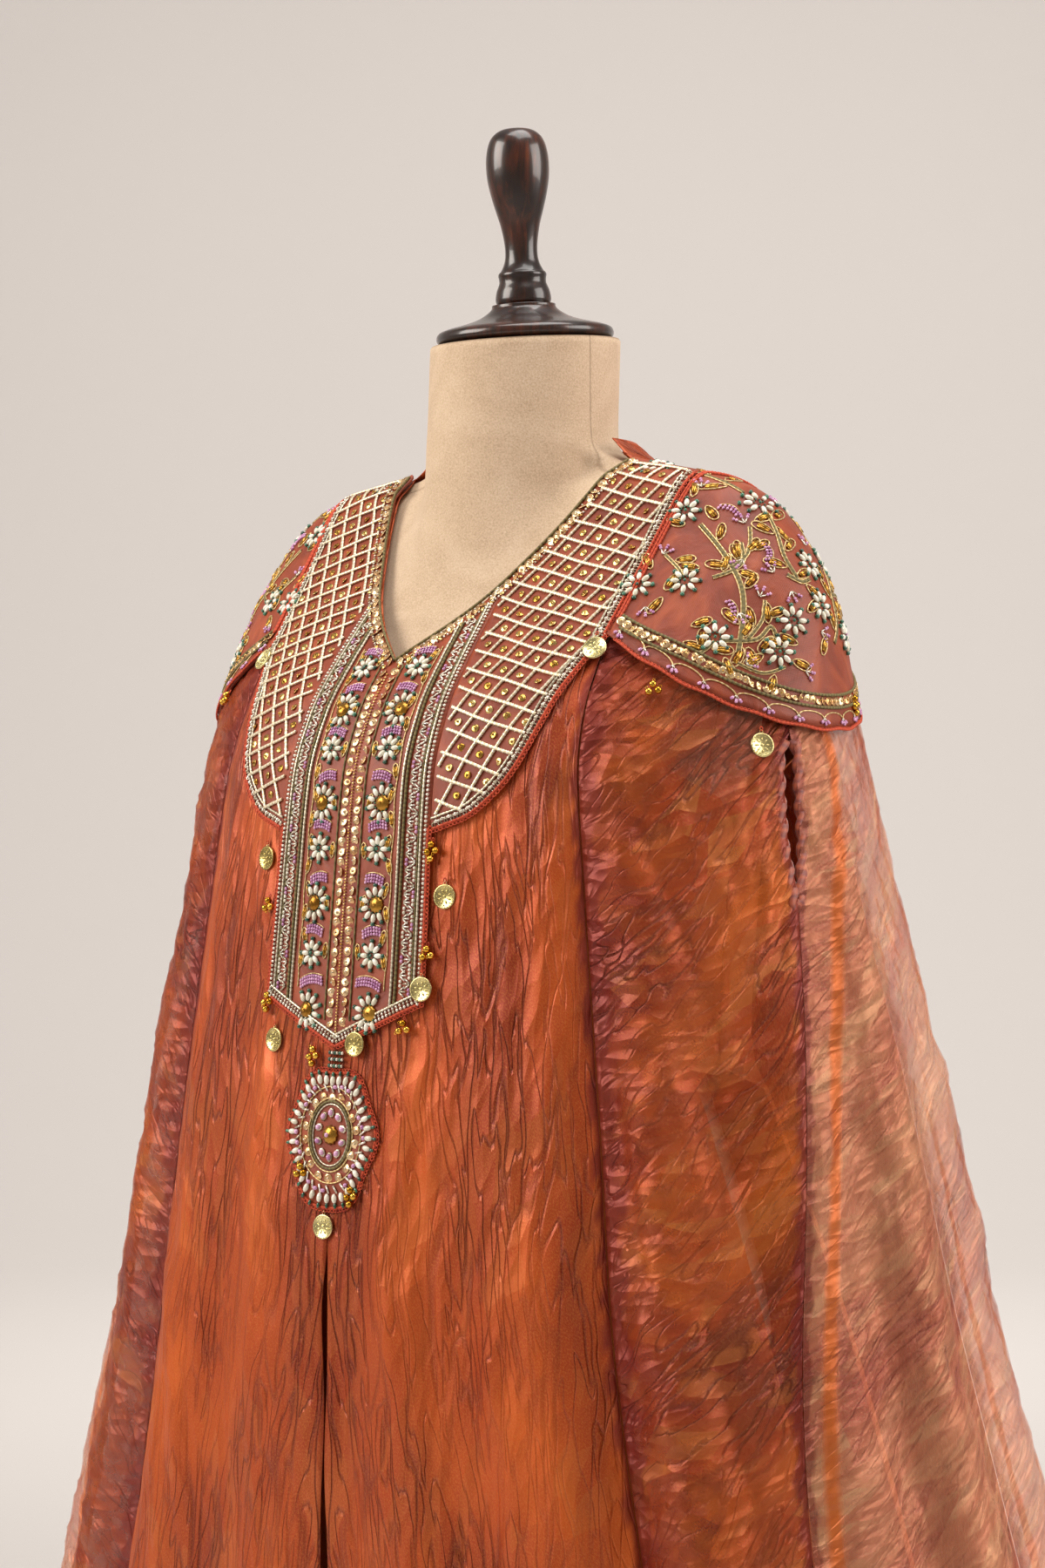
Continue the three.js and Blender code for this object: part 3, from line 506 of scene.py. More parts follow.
def sleevePanel(side, columns=96, rows=150):
    s = np.linspace(0, 1, columns + 1)[None, :] ** 1.35  # finer near the slit
    z, tucked = sideRows(lerp(cut["slitCapTurn"], -cut["frontSeam"], s), evenRows(rows))
    begin = slitTurn(z) - slitHalfGap(z)
    return mirrored(lerp(begin, cut["backSeam"] + 0.12, s), side), z, -tucked


def backPanel(columns=120, upper=24, lower=150):
    acrossShare = np.linspace(-1, 1, columns + 1)[None, :]
    reach = np.abs(acrossShare)
    neckShare = 0.6
    topHalf = garmentShape["half"][0]

    def edgeX(z):
        straight = garment.half(z) * np.cos(np.radians(lerp(
            cut["frontSeam"], -cut["backSeam"], clamp((cut["capSeam"] - z) / 60)))) - 2 * cut["seamGap"]
        return np.where(z > cut["capSeam"], capSeamX(z) - cut["seamGap"], straight)
    fall = np.linspace(0, 1, upper + 1)[:, None] ** 2.2
    shoulder = clamp((reach - neckShare) / (1 - neckShare))
    topX = np.where(reach < neckShare, topHalf * np.sin(clamp(reach / neckShare) * math.pi / 2),
                    lerp(topHalf, edgeX(np.array(capSeamTopZ)), shoulder))
    upperZ = lerp(np.where(reach < neckShare, garmentShape["z"][0], ridgeHeight(topX)), lowZ, fall)
    upperX = lerp(topX, edgeX(upperZ) * reach, fall ** 0.8)
    z = np.linspace(lowZ, cut["hem"], lower + 1)[1:, None]
    lowerX = edgeX(z) * reach
    x = np.concatenate([upperX, lowerX])
    z = np.concatenate([upperZ, z + 0 * reach])
    turn = np.maximum(garment.turnAt(x, z), 0.3)
    return np.where(acrossShare < 0, -turn, turn - 180), z


def liningHalf(isFront, columns=50, rows=72):
    top = 1262 if isFront else 1296
    z = np.linspace(top, 95, rows + 1)[:, None]
    underarm, waist, vent = 1195, 1021, 12 if isFront else 22
    armhole = lerp(89.7, cut["frontSeam"] - 15, clamp((z - underarm) / (top - underarm)) ** 0.6)
    span = np.where(z > underarm, armhole, np.where(z > waist, 89.8, 90 - vent))
    s = np.linspace(-1, 1, columns + 1)[None, :]
    return (90 if isFront else 270) + span * s, z + 0 * s


under = {"yokeHalf": 148, "placketHalf": 66, "medalHalf": 40, "medalHigh": 50, "medalHeight": 988}


def clearOfYoke(x, z):  # the cloth lies flat under the yoke, the placket and the medallion
    reach = np.abs(x)
    order = np.argsort(yokeEdge[:, 0])
    edgeZ = np.interp(reach, yokeEdge[order, 0], yokeEdge[order, 1])
    yokeAway = np.maximum(edgeZ - z, reach - under["yokeHalf"])
    placketAway = np.maximum(reach - under["placketHalf"], placketShape["point"] - z)
    medallionAway = (np.hypot(x / under["medalHalf"], (z - under["medalHeight"]) / under["medalHigh"])
                     - 1) * under["medalHalf"]
    return smooth(2, 20, np.minimum(np.minimum(yokeAway, placketAway), medallionAway))


# The finishes of the cloth, the form and the stand.
# A MapRange takes its value, the range it comes from and the range it goes to.

def tissueOrganza(name, look):
    # Silk organza shot with metal thread: copper one way, plum at a glance, crushed by hand.
    material, shader, add = newMaterial(name, {
        "Roughness": look["roughness"], "Metallic": look["metal"], "Sheen Weight": look["sheen"],
        "Sheen Roughness": 0.38, "Sheen Tint": look["glance"]})
    uv = add("TexCoord").outputs["UV"]
    stray = add("TexNoise", {"Vector": uv, "Scale": 14.0, "Detail": 1.0}).outputs["Color"]
    pulled = add("VectorMath", (stray, (look["stray"] * mm, look["stray"] * mm, 0)), operation="MULTIPLY")
    strayed = add("VectorMath", (uv, pulled))

    def onCloth(wide, long, lean, place=strayed):
        return add("Mapping", {"Vector": place, "Rotation": (0, 0, math.radians(lean)),
                               "Scale": (wide * mm, long * mm, 1)}, vector_type="TEXTURE")

    def facets(wide, long, lean):  # flat facets between sharp creases, as crushing leaves them
        return add("TexVoronoi", {"Vector": onCloth(wide, long, lean), "Scale": 1.0}, voronoi_dimensions="2D")

    def clouds(place, detail, distortion=0.0):
        return add("TexNoise", {"Vector": place, "Scale": 1.0, "Detail": detail, "Distortion": distortion})
    lean = look["lean"]
    crush = facets(look["crushWide"], look["crushLong"], lean)
    fine = facets(look["crushWide"] * 0.5, look["crushLong"] * 0.42, lean * 1.2 - 14)
    crease = clouds(onCloth(9, 30, lean * 1.2 + 6), 3.0, 0.9)
    thread = clouds(onCloth(0.9, 1.3, 0, uv), 1.0)  # threads are 0.15 mm, drawn at 0.9 mm
    cloud = clouds(onCloth(70, 260, lean), 2.0, 0.5)
    tint = add("ValToRGB", (cloud,), (
        (0.32, look["deep"]), (0.5, look["middle"]), (0.68, look["light"])))
    both = add("Math", [add("SeparateColor", (tone.outputs["Color"],)) for tone in (crush, fine)],
               operation="ADD")
    # Painted shade on some facets and painted highlight on others, standing in for the light their tilts
    # would catch.
    dark = add("MapRange", (both, 0.95, 0.2, 0.0, look["facet"]))
    bright = add("MapRange", (both, 1.1, 1.8, 0.0, look["facet"]))
    # Crease lines are painted shade in their dark colour, as well as grooves in the bump.
    inCrease = None  # long creases run with the crush, shorter ones across them
    for wide, long, turn, width in ((17, 150, lean, 0.030), (9, 60, lean * 1.3 + 10, 0.034)):
        off = add("Math", (clouds(onCloth(wide, long, turn), 1.5, 0.3), 0.5), operation="SUBTRACT")
        near = add("Math", (off,), operation="ABSOLUTE")
        line = add("MapRange", (near, width, 0.0, 0.0, look["creaseShow"]))
        inCrease = add("Math", (inCrease, line), operation="MAXIMUM") if inCrease else line
    grouped = add("MapRange", (cloud, 0.58, 0.40, 0.3, 1.0))  # with smooth cloth between the groups
    inCrease = add("Math", (inCrease, grouped), operation="MULTIPLY")
    # The metal thread's glitter is painted highlight.
    glint = add("MapRange", (thread, 0.42, 0.72, 0.0, 0.3))
    seam, pleat = (add("Attribute", attribute_name=band).outputs["Fac"] for band in ("seam", "pleat"))
    for share, colour in ((dark, look["shade"]), (bright, look["glint"]), (inCrease, look["fold"]),
                          (glint, look["glint"]), (seam, look["doubledAndFoldShade"]), (pleat, "#D2691F")):
        tint = add("MixRGB", (share, tint, colour))
    bump, deep = None, look["crushDeep"]
    for height, distance, strength in ((crush, deep, 1.0), (fine, deep * 0.42, 1.0), (inCrease, -1.4, 1.0),
                                       (thread, 0.12, 0.6)):
        bump = add("Bump", {"Height": height, "Distance": distance * mm, "Strength": strength,
                            "Normal": bump})
    setInputs(shader, {"Base Color": tint, "Normal": bump})
    if look["cover"] < 1:  # how much each of the shell's two walls covers
        closer = add("Math", (seam, pleat), operation="MAXIMUM")
        grown = add("MapRange", (closer, 0.0, 1.0, look["cover"], min(1.0, look["cover"] + 0.36)))
        uneven = add("MapRange", (crease, 0.3, 0.7, 1.18, 0.86))
        setInputs(shader, {"Alpha": add("Math", (grown, uneven), operation="MULTIPLY", use_clamp=True)})
    return material


# In these looks shade is painted shade on some facets, glint is painted highlight on others and on the metal
# thread, and the crease colour is painted shade in the crease lines. The seam colour is doubled cloth, and
# beside the front seam's deep fold it is painted shade.
copper = {"roughness": 0.44, "metal": 0.35, "sheen": 0.1, "glance": "#A8465A", "crushWide": 19,
          "crushLong": 80, "lean": -4, "deep": "#8A260A", "middle": "#B24412", "light": "#CE5A18",
          "shade": "#701A0E", "fold": "#5E100C", "creaseShow": 0.7, "glint": "#DC8A44", "facet": 0.14,
          "doubledAndFoldShade": "#7A2018", "crushDeep": 2.4, "stray": 12, "cover": 1}
linedOrganza = tissueOrganza("crushed tissue organza, lined", copper)
sideOrganza = tissueOrganza("crushed tissue organza, sheer", {
    **copper, "lean": -32, "crushWide": 15, "crushLong": 80, "crushDeep": 5.0, "deep": "#8A1C06",
    "middle": "#B43E0E", "light": "#D4641C", "shade": "#5E0E08", "facet": 0.4, "creaseShow": 0.85,
    "cover": 0.5, "glint": "#E8984E"})
sleeveOrganza = tissueOrganza("crushed tissue organza, single layer", {
    **copper, "lean": -48, "crushWide": 13, "crushLong": 80, "crushDeep": 5.0, "deep": "#D47458",
    "middle": "#E68E6A", "light": "#F6AC80", "shade": "#B44A44", "fold": "#9C343C", "creaseShow": 0.45,
    "cover": 0.34, "facet": 0.4, "glint": "#FFD49E", "sheen": 0.3, "glance": "#C05878"})


def plainWeave(name, look):
    # Plain woven cotton and silk: matt, with the thread just raised.
    material, shader, add = newMaterial(name, {
        "Roughness": look["roughness"], "Sheen Weight": 0.25, "Sheen Roughness": 0.5,
        "Sheen Tint": look["light"]})
    uv = add("TexCoord").outputs["UV"]
    cloud = add("TexNoise", {"Vector": uv, "Scale": 34.0, "Detail": 4.0, "Distortion": 0.8})
    ramp = add("ValToRGB", (cloud,), ((0.3, look["deep"]), (0.52, look["middle"]), (0.72, look["light"])))
    threads = [add("TexWave", {"Vector": uv, "Scale": 314.0, "Distortion": 1.4, "Detail": 2.0},
                   bands_direction=way).outputs["Fac"] for way in "XY"]  # they are 0.25 mm, drawn at 1 mm
    both = add("Math", threads, operation="MULTIPLY")
    bump = add("Bump", {"Height": cloud, "Distance": look["wrinkle"] * mm, "Strength": 0.7})
    bump = add("Bump", {"Height": both, "Distance": 0.12 * mm, "Strength": 0.5, "Normal": bump})
    setInputs(shader, {"Base Color": ramp, "Normal": bump})
    return material


liningCloth = plainWeave("woven lining, orange", {
    "roughness": 0.62, "deep": "#B5531F", "middle": "#C8652B", "light": "#D47A3A", "wrinkle": 2.0})
yokeCloth = plainWeave("silk dupion under the embroidery", {
    "roughness": 0.5, "deep": "#762C14", "middle": "#8E3A1C", "light": "#A64C26", "wrinkle": 2.4})


def suedeCloth():
    # Micro-suede glued over the padded form: very matt, a short nap that catches light edge-on.
    material, shader, add = newMaterial("suede cloth, beige", {
        "Roughness": 0.95, "Sheen Weight": 0.35, "Sheen Roughness": 0.6, "Sheen Tint": "#F0E2CC",
        "Specular IOR Level": 0.2})
    place = add("TexCoord").outputs["Object"]
    nap = add("TexNoise", {"Vector": place, "Scale": 1 / (1.1 * mm), "Detail": 3.0})
    brushed = add("TexNoise", {"Vector": place, "Scale": 1 / (45 * mm), "Detail": 3.0, "Distortion": 1.2})
    ramp = add("ValToRGB", (add("MixRGB", (0.35, nap, brushed)),), (
        (0.34, "#B69C80"), (0.5, "#CAB094"), (0.66, "#D6BFA4")))
    parts = add("SeparateXYZ", (place,))  # a seam goes down each side of the neck
    aside = add("Math", (parts,), operation="ABSOLUTE")
    turned = add("Math", (aside, math.tan(math.radians(6)), parts.outputs["Y"]), operation="MULTIPLY_ADD")
    seam = add("MapRange", (add("Math", (turned,), operation="ABSOLUTE"), 1.3 * mm, 0.3 * mm, 0.0, 0.45))
    bump = add("Bump", {"Height": nap, "Distance": 0.25 * mm, "Strength": 0.5})
    groove = add("Bump", {"Height": seam, "Distance": -0.8 * mm, "Strength": 1.0, "Normal": bump})
    setInputs(shader, {"Base Color": add("MixRGB", (seam, ramp, "#9A8067")), "Normal": groove})
    return material


def lacqueredWood():
    # Turned hardwood, stained near black and lacquered: red-brown shows where the stain is thin.
    material, shader, add = newMaterial("lacquered wood, dark", {
        "Roughness": 0.3, "IOR": 1.5, "Coat Weight": 0.5, "Coat Roughness": 0.08, "Coat IOR": 1.5})
    place = add("TexCoord").outputs["Object"]
    stretched = add("Mapping", {"Vector": place, "Scale": (1 / (5 * mm), 1 / (5 * mm), 1 / (55 * mm))})
    grain = add("TexNoise", {"Vector": stretched, "Scale": 1.0, "Detail": 5.0, "Distortion": 1.6})
    stain = add("TexNoise", {"Vector": place, "Scale": 1 / (30 * mm), "Detail": 2.0})
    ramp = add("ValToRGB", (add("MixRGB", (0.45, grain, stain)),), (
        (0.36, "#140A07"), (0.5, "#241109"), (0.62, "#451E0C"), (0.72, "#663015")))
    setInputs(shader, {"Base Color": ramp, "Normal": add("Bump", {
        "Height": grain, "Distance": 0.15 * mm, "Strength": 0.3})})
    return material


def paintedSteel():
    # Steel, powder coated black: satin, with the coating's fine orange peel.
    material, shader, add = newMaterial("powder-coated steel", {"Base Color": "#2A2927", "Roughness": 0.42})
    place = add("TexCoord").outputs["Object"]
    peel = add("TexNoise", {"Vector": place, "Scale": 1 / (1.5 * mm), "Detail": 2.0})
    setInputs(shader, {"Roughness": add("MapRange", (peel, 0.0, 1.0, 0.34, 0.5)), "Normal": add("Bump", {
        "Height": peel, "Distance": 0.05 * mm, "Strength": 0.4})})
    return material


suede, wood, steel = suedeCloth(), lacqueredWood(), paintedSteel()
print("cloth, suede, wood and steel")


# The dress form and its stand.

def readMesh(made):  # points and faces, and the object goes
    if made.mode == "EDIT":
        bpy.ops.object.mode_set(mode="OBJECT")
    points = np.array([v.co[:] for v in made.data.vertices])
    faces = [tuple(p.vertices) for p in made.data.polygons]
    bpy.data.objects.remove(made)
    return points, faces


def startEdit(active=True):
    bpy.ops.object.mode_set(mode="EDIT")
    bpy.ops.mesh.select_all(action="SELECT" if active else "DESELECT")
    return bpy.context.object


def pickFaces(made, test):  # in edit mode, faces are chosen by their place or normal
    startEdit(False)
    bpy.ops.object.mode_set(mode="OBJECT")
    for face in made.data.polygons:
        face.select = bool(test(face))
    bpy.ops.object.mode_set(mode="EDIT")


formShape = {
    "z": (1425, 1409.4, 1401.4, 1394.4, 1383.4, 1369.4, 1344, 1310, 1283, 1250, 1200, 1130, 1040,
          950, 850, 740, 700),
    "half": (40, 88, 125, 156, 180, 193, 203, 198, 186, 174, 162, 146, 128, 150, 174, 166, 150),
    "front": (20, 8, 12, 22, 31, 41, 59, 85, 107, 122, 138, 124, 100, 106, 114, 108, 96),
    "back": (40, 76, 83, 91, 98, 103, 109, 116, 120, 120, 117, 106, 98, 122, 138, 128, 112),
}
form = {"neck": 62.5, "top": 1495, "lean": 4, "base": 1430, "shift": 3, "blend": 5, "floor": 700,
        "around": 120}
torso = WornSurface(formShape)


def formPoint(turn, z):  # the torso, which flows into a leaning neck
    z = np.asarray(z, float)
    bend = clamp((z - form["base"]) / (form["top"] - form["base"]))
    shrink = clamp((z - 1425) / 30)
    flare = 5 * clamp((1452 - z) / 90) ** 2
    angle = np.radians(turn + 0 * z)
    even = torso.pointMm(turn, z) * np.array([1, 1, 0])
    roundWay = np.stack([np.cos(angle), -np.sin(angle), 0 * angle], axis=-1)
    mix = smooth(1300, 1412, z)[..., None]
    toward = unit(lerp(unit(even), roundWay, mix))
    a = torso.half(z)
    b = np.where(toward[..., 1] < 0, torso.front(z), torso.back(z))
    torsoReach = (1 - shrink) / np.hypot(toward[..., 0] / a, toward[..., 1] / b)
    neckReach = np.where(z > 1250, (form["neck"] + flare) * clamp((z - 1250) / 60), 0)
    reach = (torsoReach ** form["blend"] + neckReach ** form["blend"]) ** (1 / form["blend"])
    x, y = toward[..., 0] * reach, toward[..., 1] * reach
    return np.stack([x, y + form["shift"] * bend,
                     z + math.tan(math.radians(form["lean"])) * bend * y], axis=-1) * mm


def dressForm():
    turn = np.arange(form["around"])[None, :] * 360 / form["around"]
    z = np.concatenate([np.linspace(form["floor"], 1280, 40)[:-1], np.linspace(1280, form["top"] - 1.5, 60),
                        [form["top"]]])[:, None]
    ring = formPoint(turn, z + 0 * turn)
    ring[-1, :, :2] *= 0.985  # the edge under the wooden cap is slightly rounded
    rows, columns = ring.shape[0] - 1, form["around"]
    faces = ringFaces(rows, columns)
    points = ring.reshape(-1, 3).tolist()
    for row, flip in ((0, True), (rows, False)):
        points.append(ring[row].mean(axis=0).tolist())
        for k in range(columns):
            a, b = row * columns + k, row * columns + (k + 1) % columns
            faces.append((len(points) - 1, a, b) if flip else (len(points) - 1, b, a))
    settle(makeObject("form_skin", points, [face[::-1] for face in faces], suede), "suede", "form_body")


dressForm()


def turnedPiece(name, profile, along, material, node, segments=56):
    # A profile is drawn as edges, spun round its axis and smoothed, then stood on the leaning neck.
    mesh = bpy.data.meshes.new(name)
    spots = [(r * mm, 0, z * mm) for r, z in profile]
    mesh.from_pydata(spots, [(k, k + 1) for k in range(len(spots) - 1)], [])
    made = bpy.data.objects.new(name, mesh)
    scene.collection.objects.link(made)
    select(made)
    startEdit()
    bpy.ops.mesh.spin(steps=segments, angle=2 * math.pi, center=(0, 0, 0), axis=(0, 0, 1))
    bpy.ops.mesh.select_all(action="SELECT")
    bpy.ops.mesh.remove_doubles(threshold=0.00002)
    bpy.ops.mesh.normals_make_consistent(inside=False)
    bpy.ops.object.mode_set(mode="OBJECT")
    bpy.ops.object.shade_smooth()
    lean = math.radians(form["lean"])
    place = Matrix.Translation((0, (form["shift"] - along * math.sin(lean)) * mm,
                                (form["top"] + along * math.cos(lean)) * mm))
    made.data.transform(place @ Matrix.Rotation(lean, 4, "X"))
    made.data.materials.append(material)
    return settle(made, "turned_wood", node)


def rounded(points):  # a turner's profile
    return [(max(float(r), 0.0), float(z)) for r, z in throughPoints(points, 3)]


capProfile = ((53.5, 0), (56.6, 1), (58.2, 3.2), (58.2, 5.8), (56.6, 8.2), (52, 10), (47, 11.2), (42, 12.5),
              (36, 14.2), (30, 16.5), (26, 18.8), (23, 21), (21.2, 23), (20.9, 25))
finialProfile = (
    (17.2, 0.1), (18.2, 2), (18.2, 5), (17.4, 9), (16.2, 12), (15.4, 14.4), (15.5, 17), (15.9, 19),
    (15.4, 20.6), (14.0, 22), (12, 26), (10.9, 30), (10.6, 34), (10.8, 39), (11.6, 45), (13, 52), (14.7, 58),
    (16.4, 64), (18, 70), (19.3, 76), (20.3, 82), (20.7, 88), (20.6, 94), (20, 99), (18.8, 104),
    (16.6, 108.6), (13, 112), (9, 113.8), (5, 114.4))
turnedPiece("neck_cap", [(0, 0)] + rounded(capProfile) + [(0, 25)], cut["layerGap"], wood, "form_neck_cap")
turnedPiece("finial", [(0, 0)] + rounded(finialProfile) + [(0, 114.5)],
            2 * cut["layerGap"] + 25, wood, "form_finial")


stand = {"footRadius": 0.170, "footHeight": 0.018, "lip": 0.010, "step": 0.13, "poleRadius": 0.0125}


def standPieces():
    bpy.ops.mesh.primitive_cylinder_add(vertices=96, radius=stand["footRadius"], depth=0.008,
                                        location=(0, 0, 0.004))
    foot = bpy.context.object
    pickFaces(foot, lambda f: f.normal.z > 0.9)
    bpy.ops.mesh.inset(thickness=stand["lip"])
    bpy.ops.transform.translate(value=(0, 0, 0.003))
    bpy.ops.mesh.inset(thickness=stand["step"] - stand["lip"])
    bpy.ops.transform.translate(value=(0, 0, stand["footHeight"] - 0.011))
    bpy.ops.object.mode_set(mode="OBJECT")
    low, high = (corner.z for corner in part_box("stand_pole"))
    bpy.ops.mesh.primitive_cylinder_add(vertices=48, radius=stand["poleRadius"], depth=high - low,
                                        location=(0, 0, (high + low) / 2))
    pole = bpy.context.object
    for piece, name, node, edge in ((foot, "stand_plate", "stand_foot", 0.0012),
                                    (pole, "stand_tube", "stand_pole", 0.0006)):
        piece.name = name
        select(piece)
        bevel = piece.modifiers.new("edge", "BEVEL")
        bevel.width, bevel.segments, bevel.limit_method, bevel.angle_limit = edge, 2, "ANGLE", 0.5
        bpy.ops.object.modifier_apply(modifier="edge")
        bpy.ops.object.shade_smooth_by_angle(angle=0.6)
        bpy.ops.object.transform_apply(location=True, rotation=True, scale=True)
        piece.data.materials.append(steel)
        settle(piece, "stand_metal", node)


standPieces()
print("dress form and stand")


# The garment's cloth.
# Creases: share across, share down, length, lean, width and depth; minus is a trough.

frontCreases = (
    (0.90, 0.16, 420, 3, 9, 2.6), (0.80, 0.27, 300, -4, 8, -2.4), (0.66, 0.24, 230, 9, 7, -1.8),
    (0.52, 0.31, 330, 5, 9, 2.2), (0.40, 0.40, 260, -3, 7, -2.6), (0.24, 0.42, 340, 4, 8, 2.4),
    (0.12, 0.46, 300, 2, 7, -3.2), (0.71, 0.45, 410, 2, 10, 3.0), (0.58, 0.52, 300, -6, 8, -2.8),
    (0.84, 0.56, 460, -2, 9, -3.0), (0.33, 0.60, 380, 5, 9, 2.8), (0.18, 0.66, 300, -4, 8, -2.4),
    (0.47, 0.74, 360, 3, 9, 3.0), (0.66, 0.80, 330, -5, 8, -2.6), (0.28, 0.86, 260, 4, 8, 2.4),
    (0.93, 0.80, 300, 2, 8, 2.2), (0.05, 0.72, 340, 1, 6, 2.6),
)
sideCreases = (
    (0.30, 0.14, 190, 24, 8, -3.2), (0.52, 0.12, 150, 30, 7, 2.6), (0.68, 0.20, 220, 26, 8, -3.0),
    (0.42, 0.24, 240, 20, 9, 3.0), (0.20, 0.30, 280, 14, 8, -3.2), (0.78, 0.32, 230, 28, 8, 2.4),
    (0.55, 0.38, 300, 18, 9, -3.0), (0.33, 0.46, 320, 12, 9, 2.8), (0.70, 0.52, 300, 16, 8, -2.6),
    (0.46, 0.62, 340, 8, 9, 2.8), (0.24, 0.70, 300, 5, 8, -2.6), (0.64, 0.78, 320, 10, 9, 2.6),
    (0.84, 0.66, 260, 9, 7, -2.4), (0.38, 0.88, 240, 4, 8, 2.2),
)
sleeveCreases = (
    (0.26, 0.12, 160, 34, 8, 2.4), (0.44, 0.16, 210, 42, 8, -2.8), (0.58, 0.22, 230, 48, 8, 2.8),
    (0.36, 0.27, 230, 44, 8, -2.6), (0.70, 0.30, 250, 40, 9, 3.0), (0.50, 0.36, 270, 50, 8, -2.8),
    (0.28, 0.40, 200, 46, 7, 2.2), (0.82, 0.38, 240, 24, 8, -2.6), (0.62, 0.46, 260, 44, 9, 2.8),
    (0.40, 0.54, 260, 40, 8, -2.6), (0.22, 0.60, 240, 30, 8, 2.4), (0.74, 0.60, 300, 26, 9, -3.0),
    (0.54, 0.70, 300, 28, 9, 2.8), (0.34, 0.78, 260, 22, 8, -2.4), (0.88, 0.74, 280, 12, 8, 2.4),
    (0.66, 0.86, 240, 16, 8, -2.4), (0.16, 0.86, 220, 10, 7, 2.0),
)
backCreases = (
    (0.12, 0.22, 380, -6, 9, 2.6), (0.24, 0.32, 320, 5, 8, -2.6), (0.38, 0.20, 300, -3, 9, 2.2),
    (0.50, 0.34, 420, 2, 10, -2.8), (0.61, 0.24, 280, 6, 8, 2.4), (0.74, 0.36, 380, -4, 9, -2.8),
    (0.88, 0.26, 340, 5, 8, 2.4), (0.31, 0.52, 360, 4, 9, 2.8), (0.45, 0.62, 320, -5, 9, -2.6),
    (0.57, 0.56, 380, 3, 10, 3.0), (0.69, 0.66, 300, -3, 8, 2.4), (0.82, 0.58, 360, 4, 9, -2.8),
    (0.18, 0.64, 340, -4, 9, -2.6), (0.08, 0.80, 300, 3, 8, 2.4), (0.40, 0.84, 280, 4, 8, 2.4),
    (0.64, 0.86, 260, -5, 8, -2.2), (0.92, 0.82, 300, -2, 8, 2.6),
)
liningCreases = (
    (0.20, 0.55, 420, 3, 14, 4.0), (0.42, 0.62, 500, -2, 15, -4.0), (0.63, 0.55, 460, 4, 14, 4.0),
    (0.82, 0.66, 400, -4, 13, -3.6), (0.50, 0.24, 220, 8, 9, 2.0), (0.30, 0.30, 200, -9, 9, -2.0),
)


def otherSide(creases):  # like the first side's, and no copy of them
    return tuple((1 - a, min(d + 0.025 * math.sin(5 * k + 1), 0.97), length * (0.86 + 0.05 * (k % 5)),
                  -lean + 2 * math.sin(k), width, depth * (0.8 + 0.08 * (k % 4)))
                 for k, (a, d, length, lean, width, depth) in enumerate(creases))


def seamBand(uv, left=0.0, right=0.0, bottom=0.0):  # bands along the seams and the hem: doubled cloth, and where wide, painted shade
    u, v = uv[..., 0], uv[..., 1]
    band = np.zeros(u.shape)
    jagged = 2 * np.abs((v / 0.031 + 0.5 * np.sin(v / 0.043)) % 1 - 0.5)  # crushed folds cross the seam
    left, right = left * (0.6 + 0.9 * jagged), right * (1.5 - 0.9 * jagged)
    if np.any(left):
        band = np.maximum(band, smooth(left * mm, left * mm * 0.75, u - u[:, :1]))
    if np.any(right):
        band = np.maximum(band, smooth(right * mm, right * mm * 0.75, u[:, -1:] - u))
    if bottom:
        band = np.maximum(band, smooth(bottom * mm, bottom * mm * 0.8, v - v[-1:, :]))
    return band


def hangGarment():
    for side, hand in ((1, "left"), (-1, "right")):
        vary = (lambda c: c) if side > 0 else otherSide
        turn, z, x = frontPanel(side)
        uv = clothUv(garment.at(turn, z))
        hangCloth("front_cloth_" + hand, turn, z, 0 * z, linedOrganza, "lined_organza", "front_" + hand,
                  vary(frontCreases), ((-5, 19, 90, 3.0), (12, 11, 36, 1.0)), (14, 12, 10),
                  clear=clearOfYoke(x, z),
                  bands={"seam": seamBand(uv, 0, 4, 14) * 0.8, "pleat": 0 * z})
        turn, z, lift = sidePanel(side)
        uv = clothUv(garment.at(turn, z))
        hangCloth("side_cloth_" + hand, turn, z, lift, sideOrganza, "sheer_organza", "side_panel_" + hand,
                  vary(sideCreases), ((-32, 16, 75, 4.8), (-44, 10, 34, 1.8)), (10, 10, 26),
                  gather=1.2,
                  bands={"seam": np.maximum(seamBand(uv, 13, 6, 14) * 0.85,
                                            # painted shade: a wide dark band beside the deep fold at the
                                            # front seam
                                            seamBand(uv, 34 + 34 * smooth(1020, 560, z)) * 0.5),
                         "pleat": 0 * z})
        turn, z, lift = sleevePanel(side)
        uv = clothUv(garment.at(turn, z))
        pleat = smooth(0.007, 0.002, np.abs(uv[..., 0] - uv[:, :1, 0] - 0.022 - 0.008 * np.sin(z / 160)))
        hangCloth("sleeve_cloth_" + hand, turn, z, lift, sleeveOrganza, "sheer_organza", "sleeve_" + hand,
                  vary(sleeveCreases), ((-48, 16, 75, 4.6), (-34, 10, 34, 1.8)), (10, 10, 26),
                  gather=1.2,
                  bands={"seam": seamBand(uv, 5, 9, 14) * 0.8, "pleat": pleat * 0.9})
    turn, z = backPanel()
    uv = clothUv(garment.at(turn, z))
    hangCloth("back_cloth", turn, z, 0 * z, linedOrganza, "lined_organza", "back", backCreases,
              ((-5, 18, 90, 3.6), (9, 10, 34, 1.2)), (12, 12, 12),
              bands={"seam": seamBand(uv, 7, 7, 14) * 0.8, "pleat": 0 * z})
    for isFront, name in ((True, "front"), (False, "back")):
        turn, z = liningHalf(isFront)
        zero = 0 * z
        hangCloth("lining_cloth_" + name, turn, z, zero, liningCloth, "lining", "lining_" + name,
                  liningCreases if isFront else otherSide(liningCreases), (), (12, 12, 10),
                  surface=lining,
                  bands={"seam": zero, "pleat": zero})


hangGarment()
print("garment cloth")


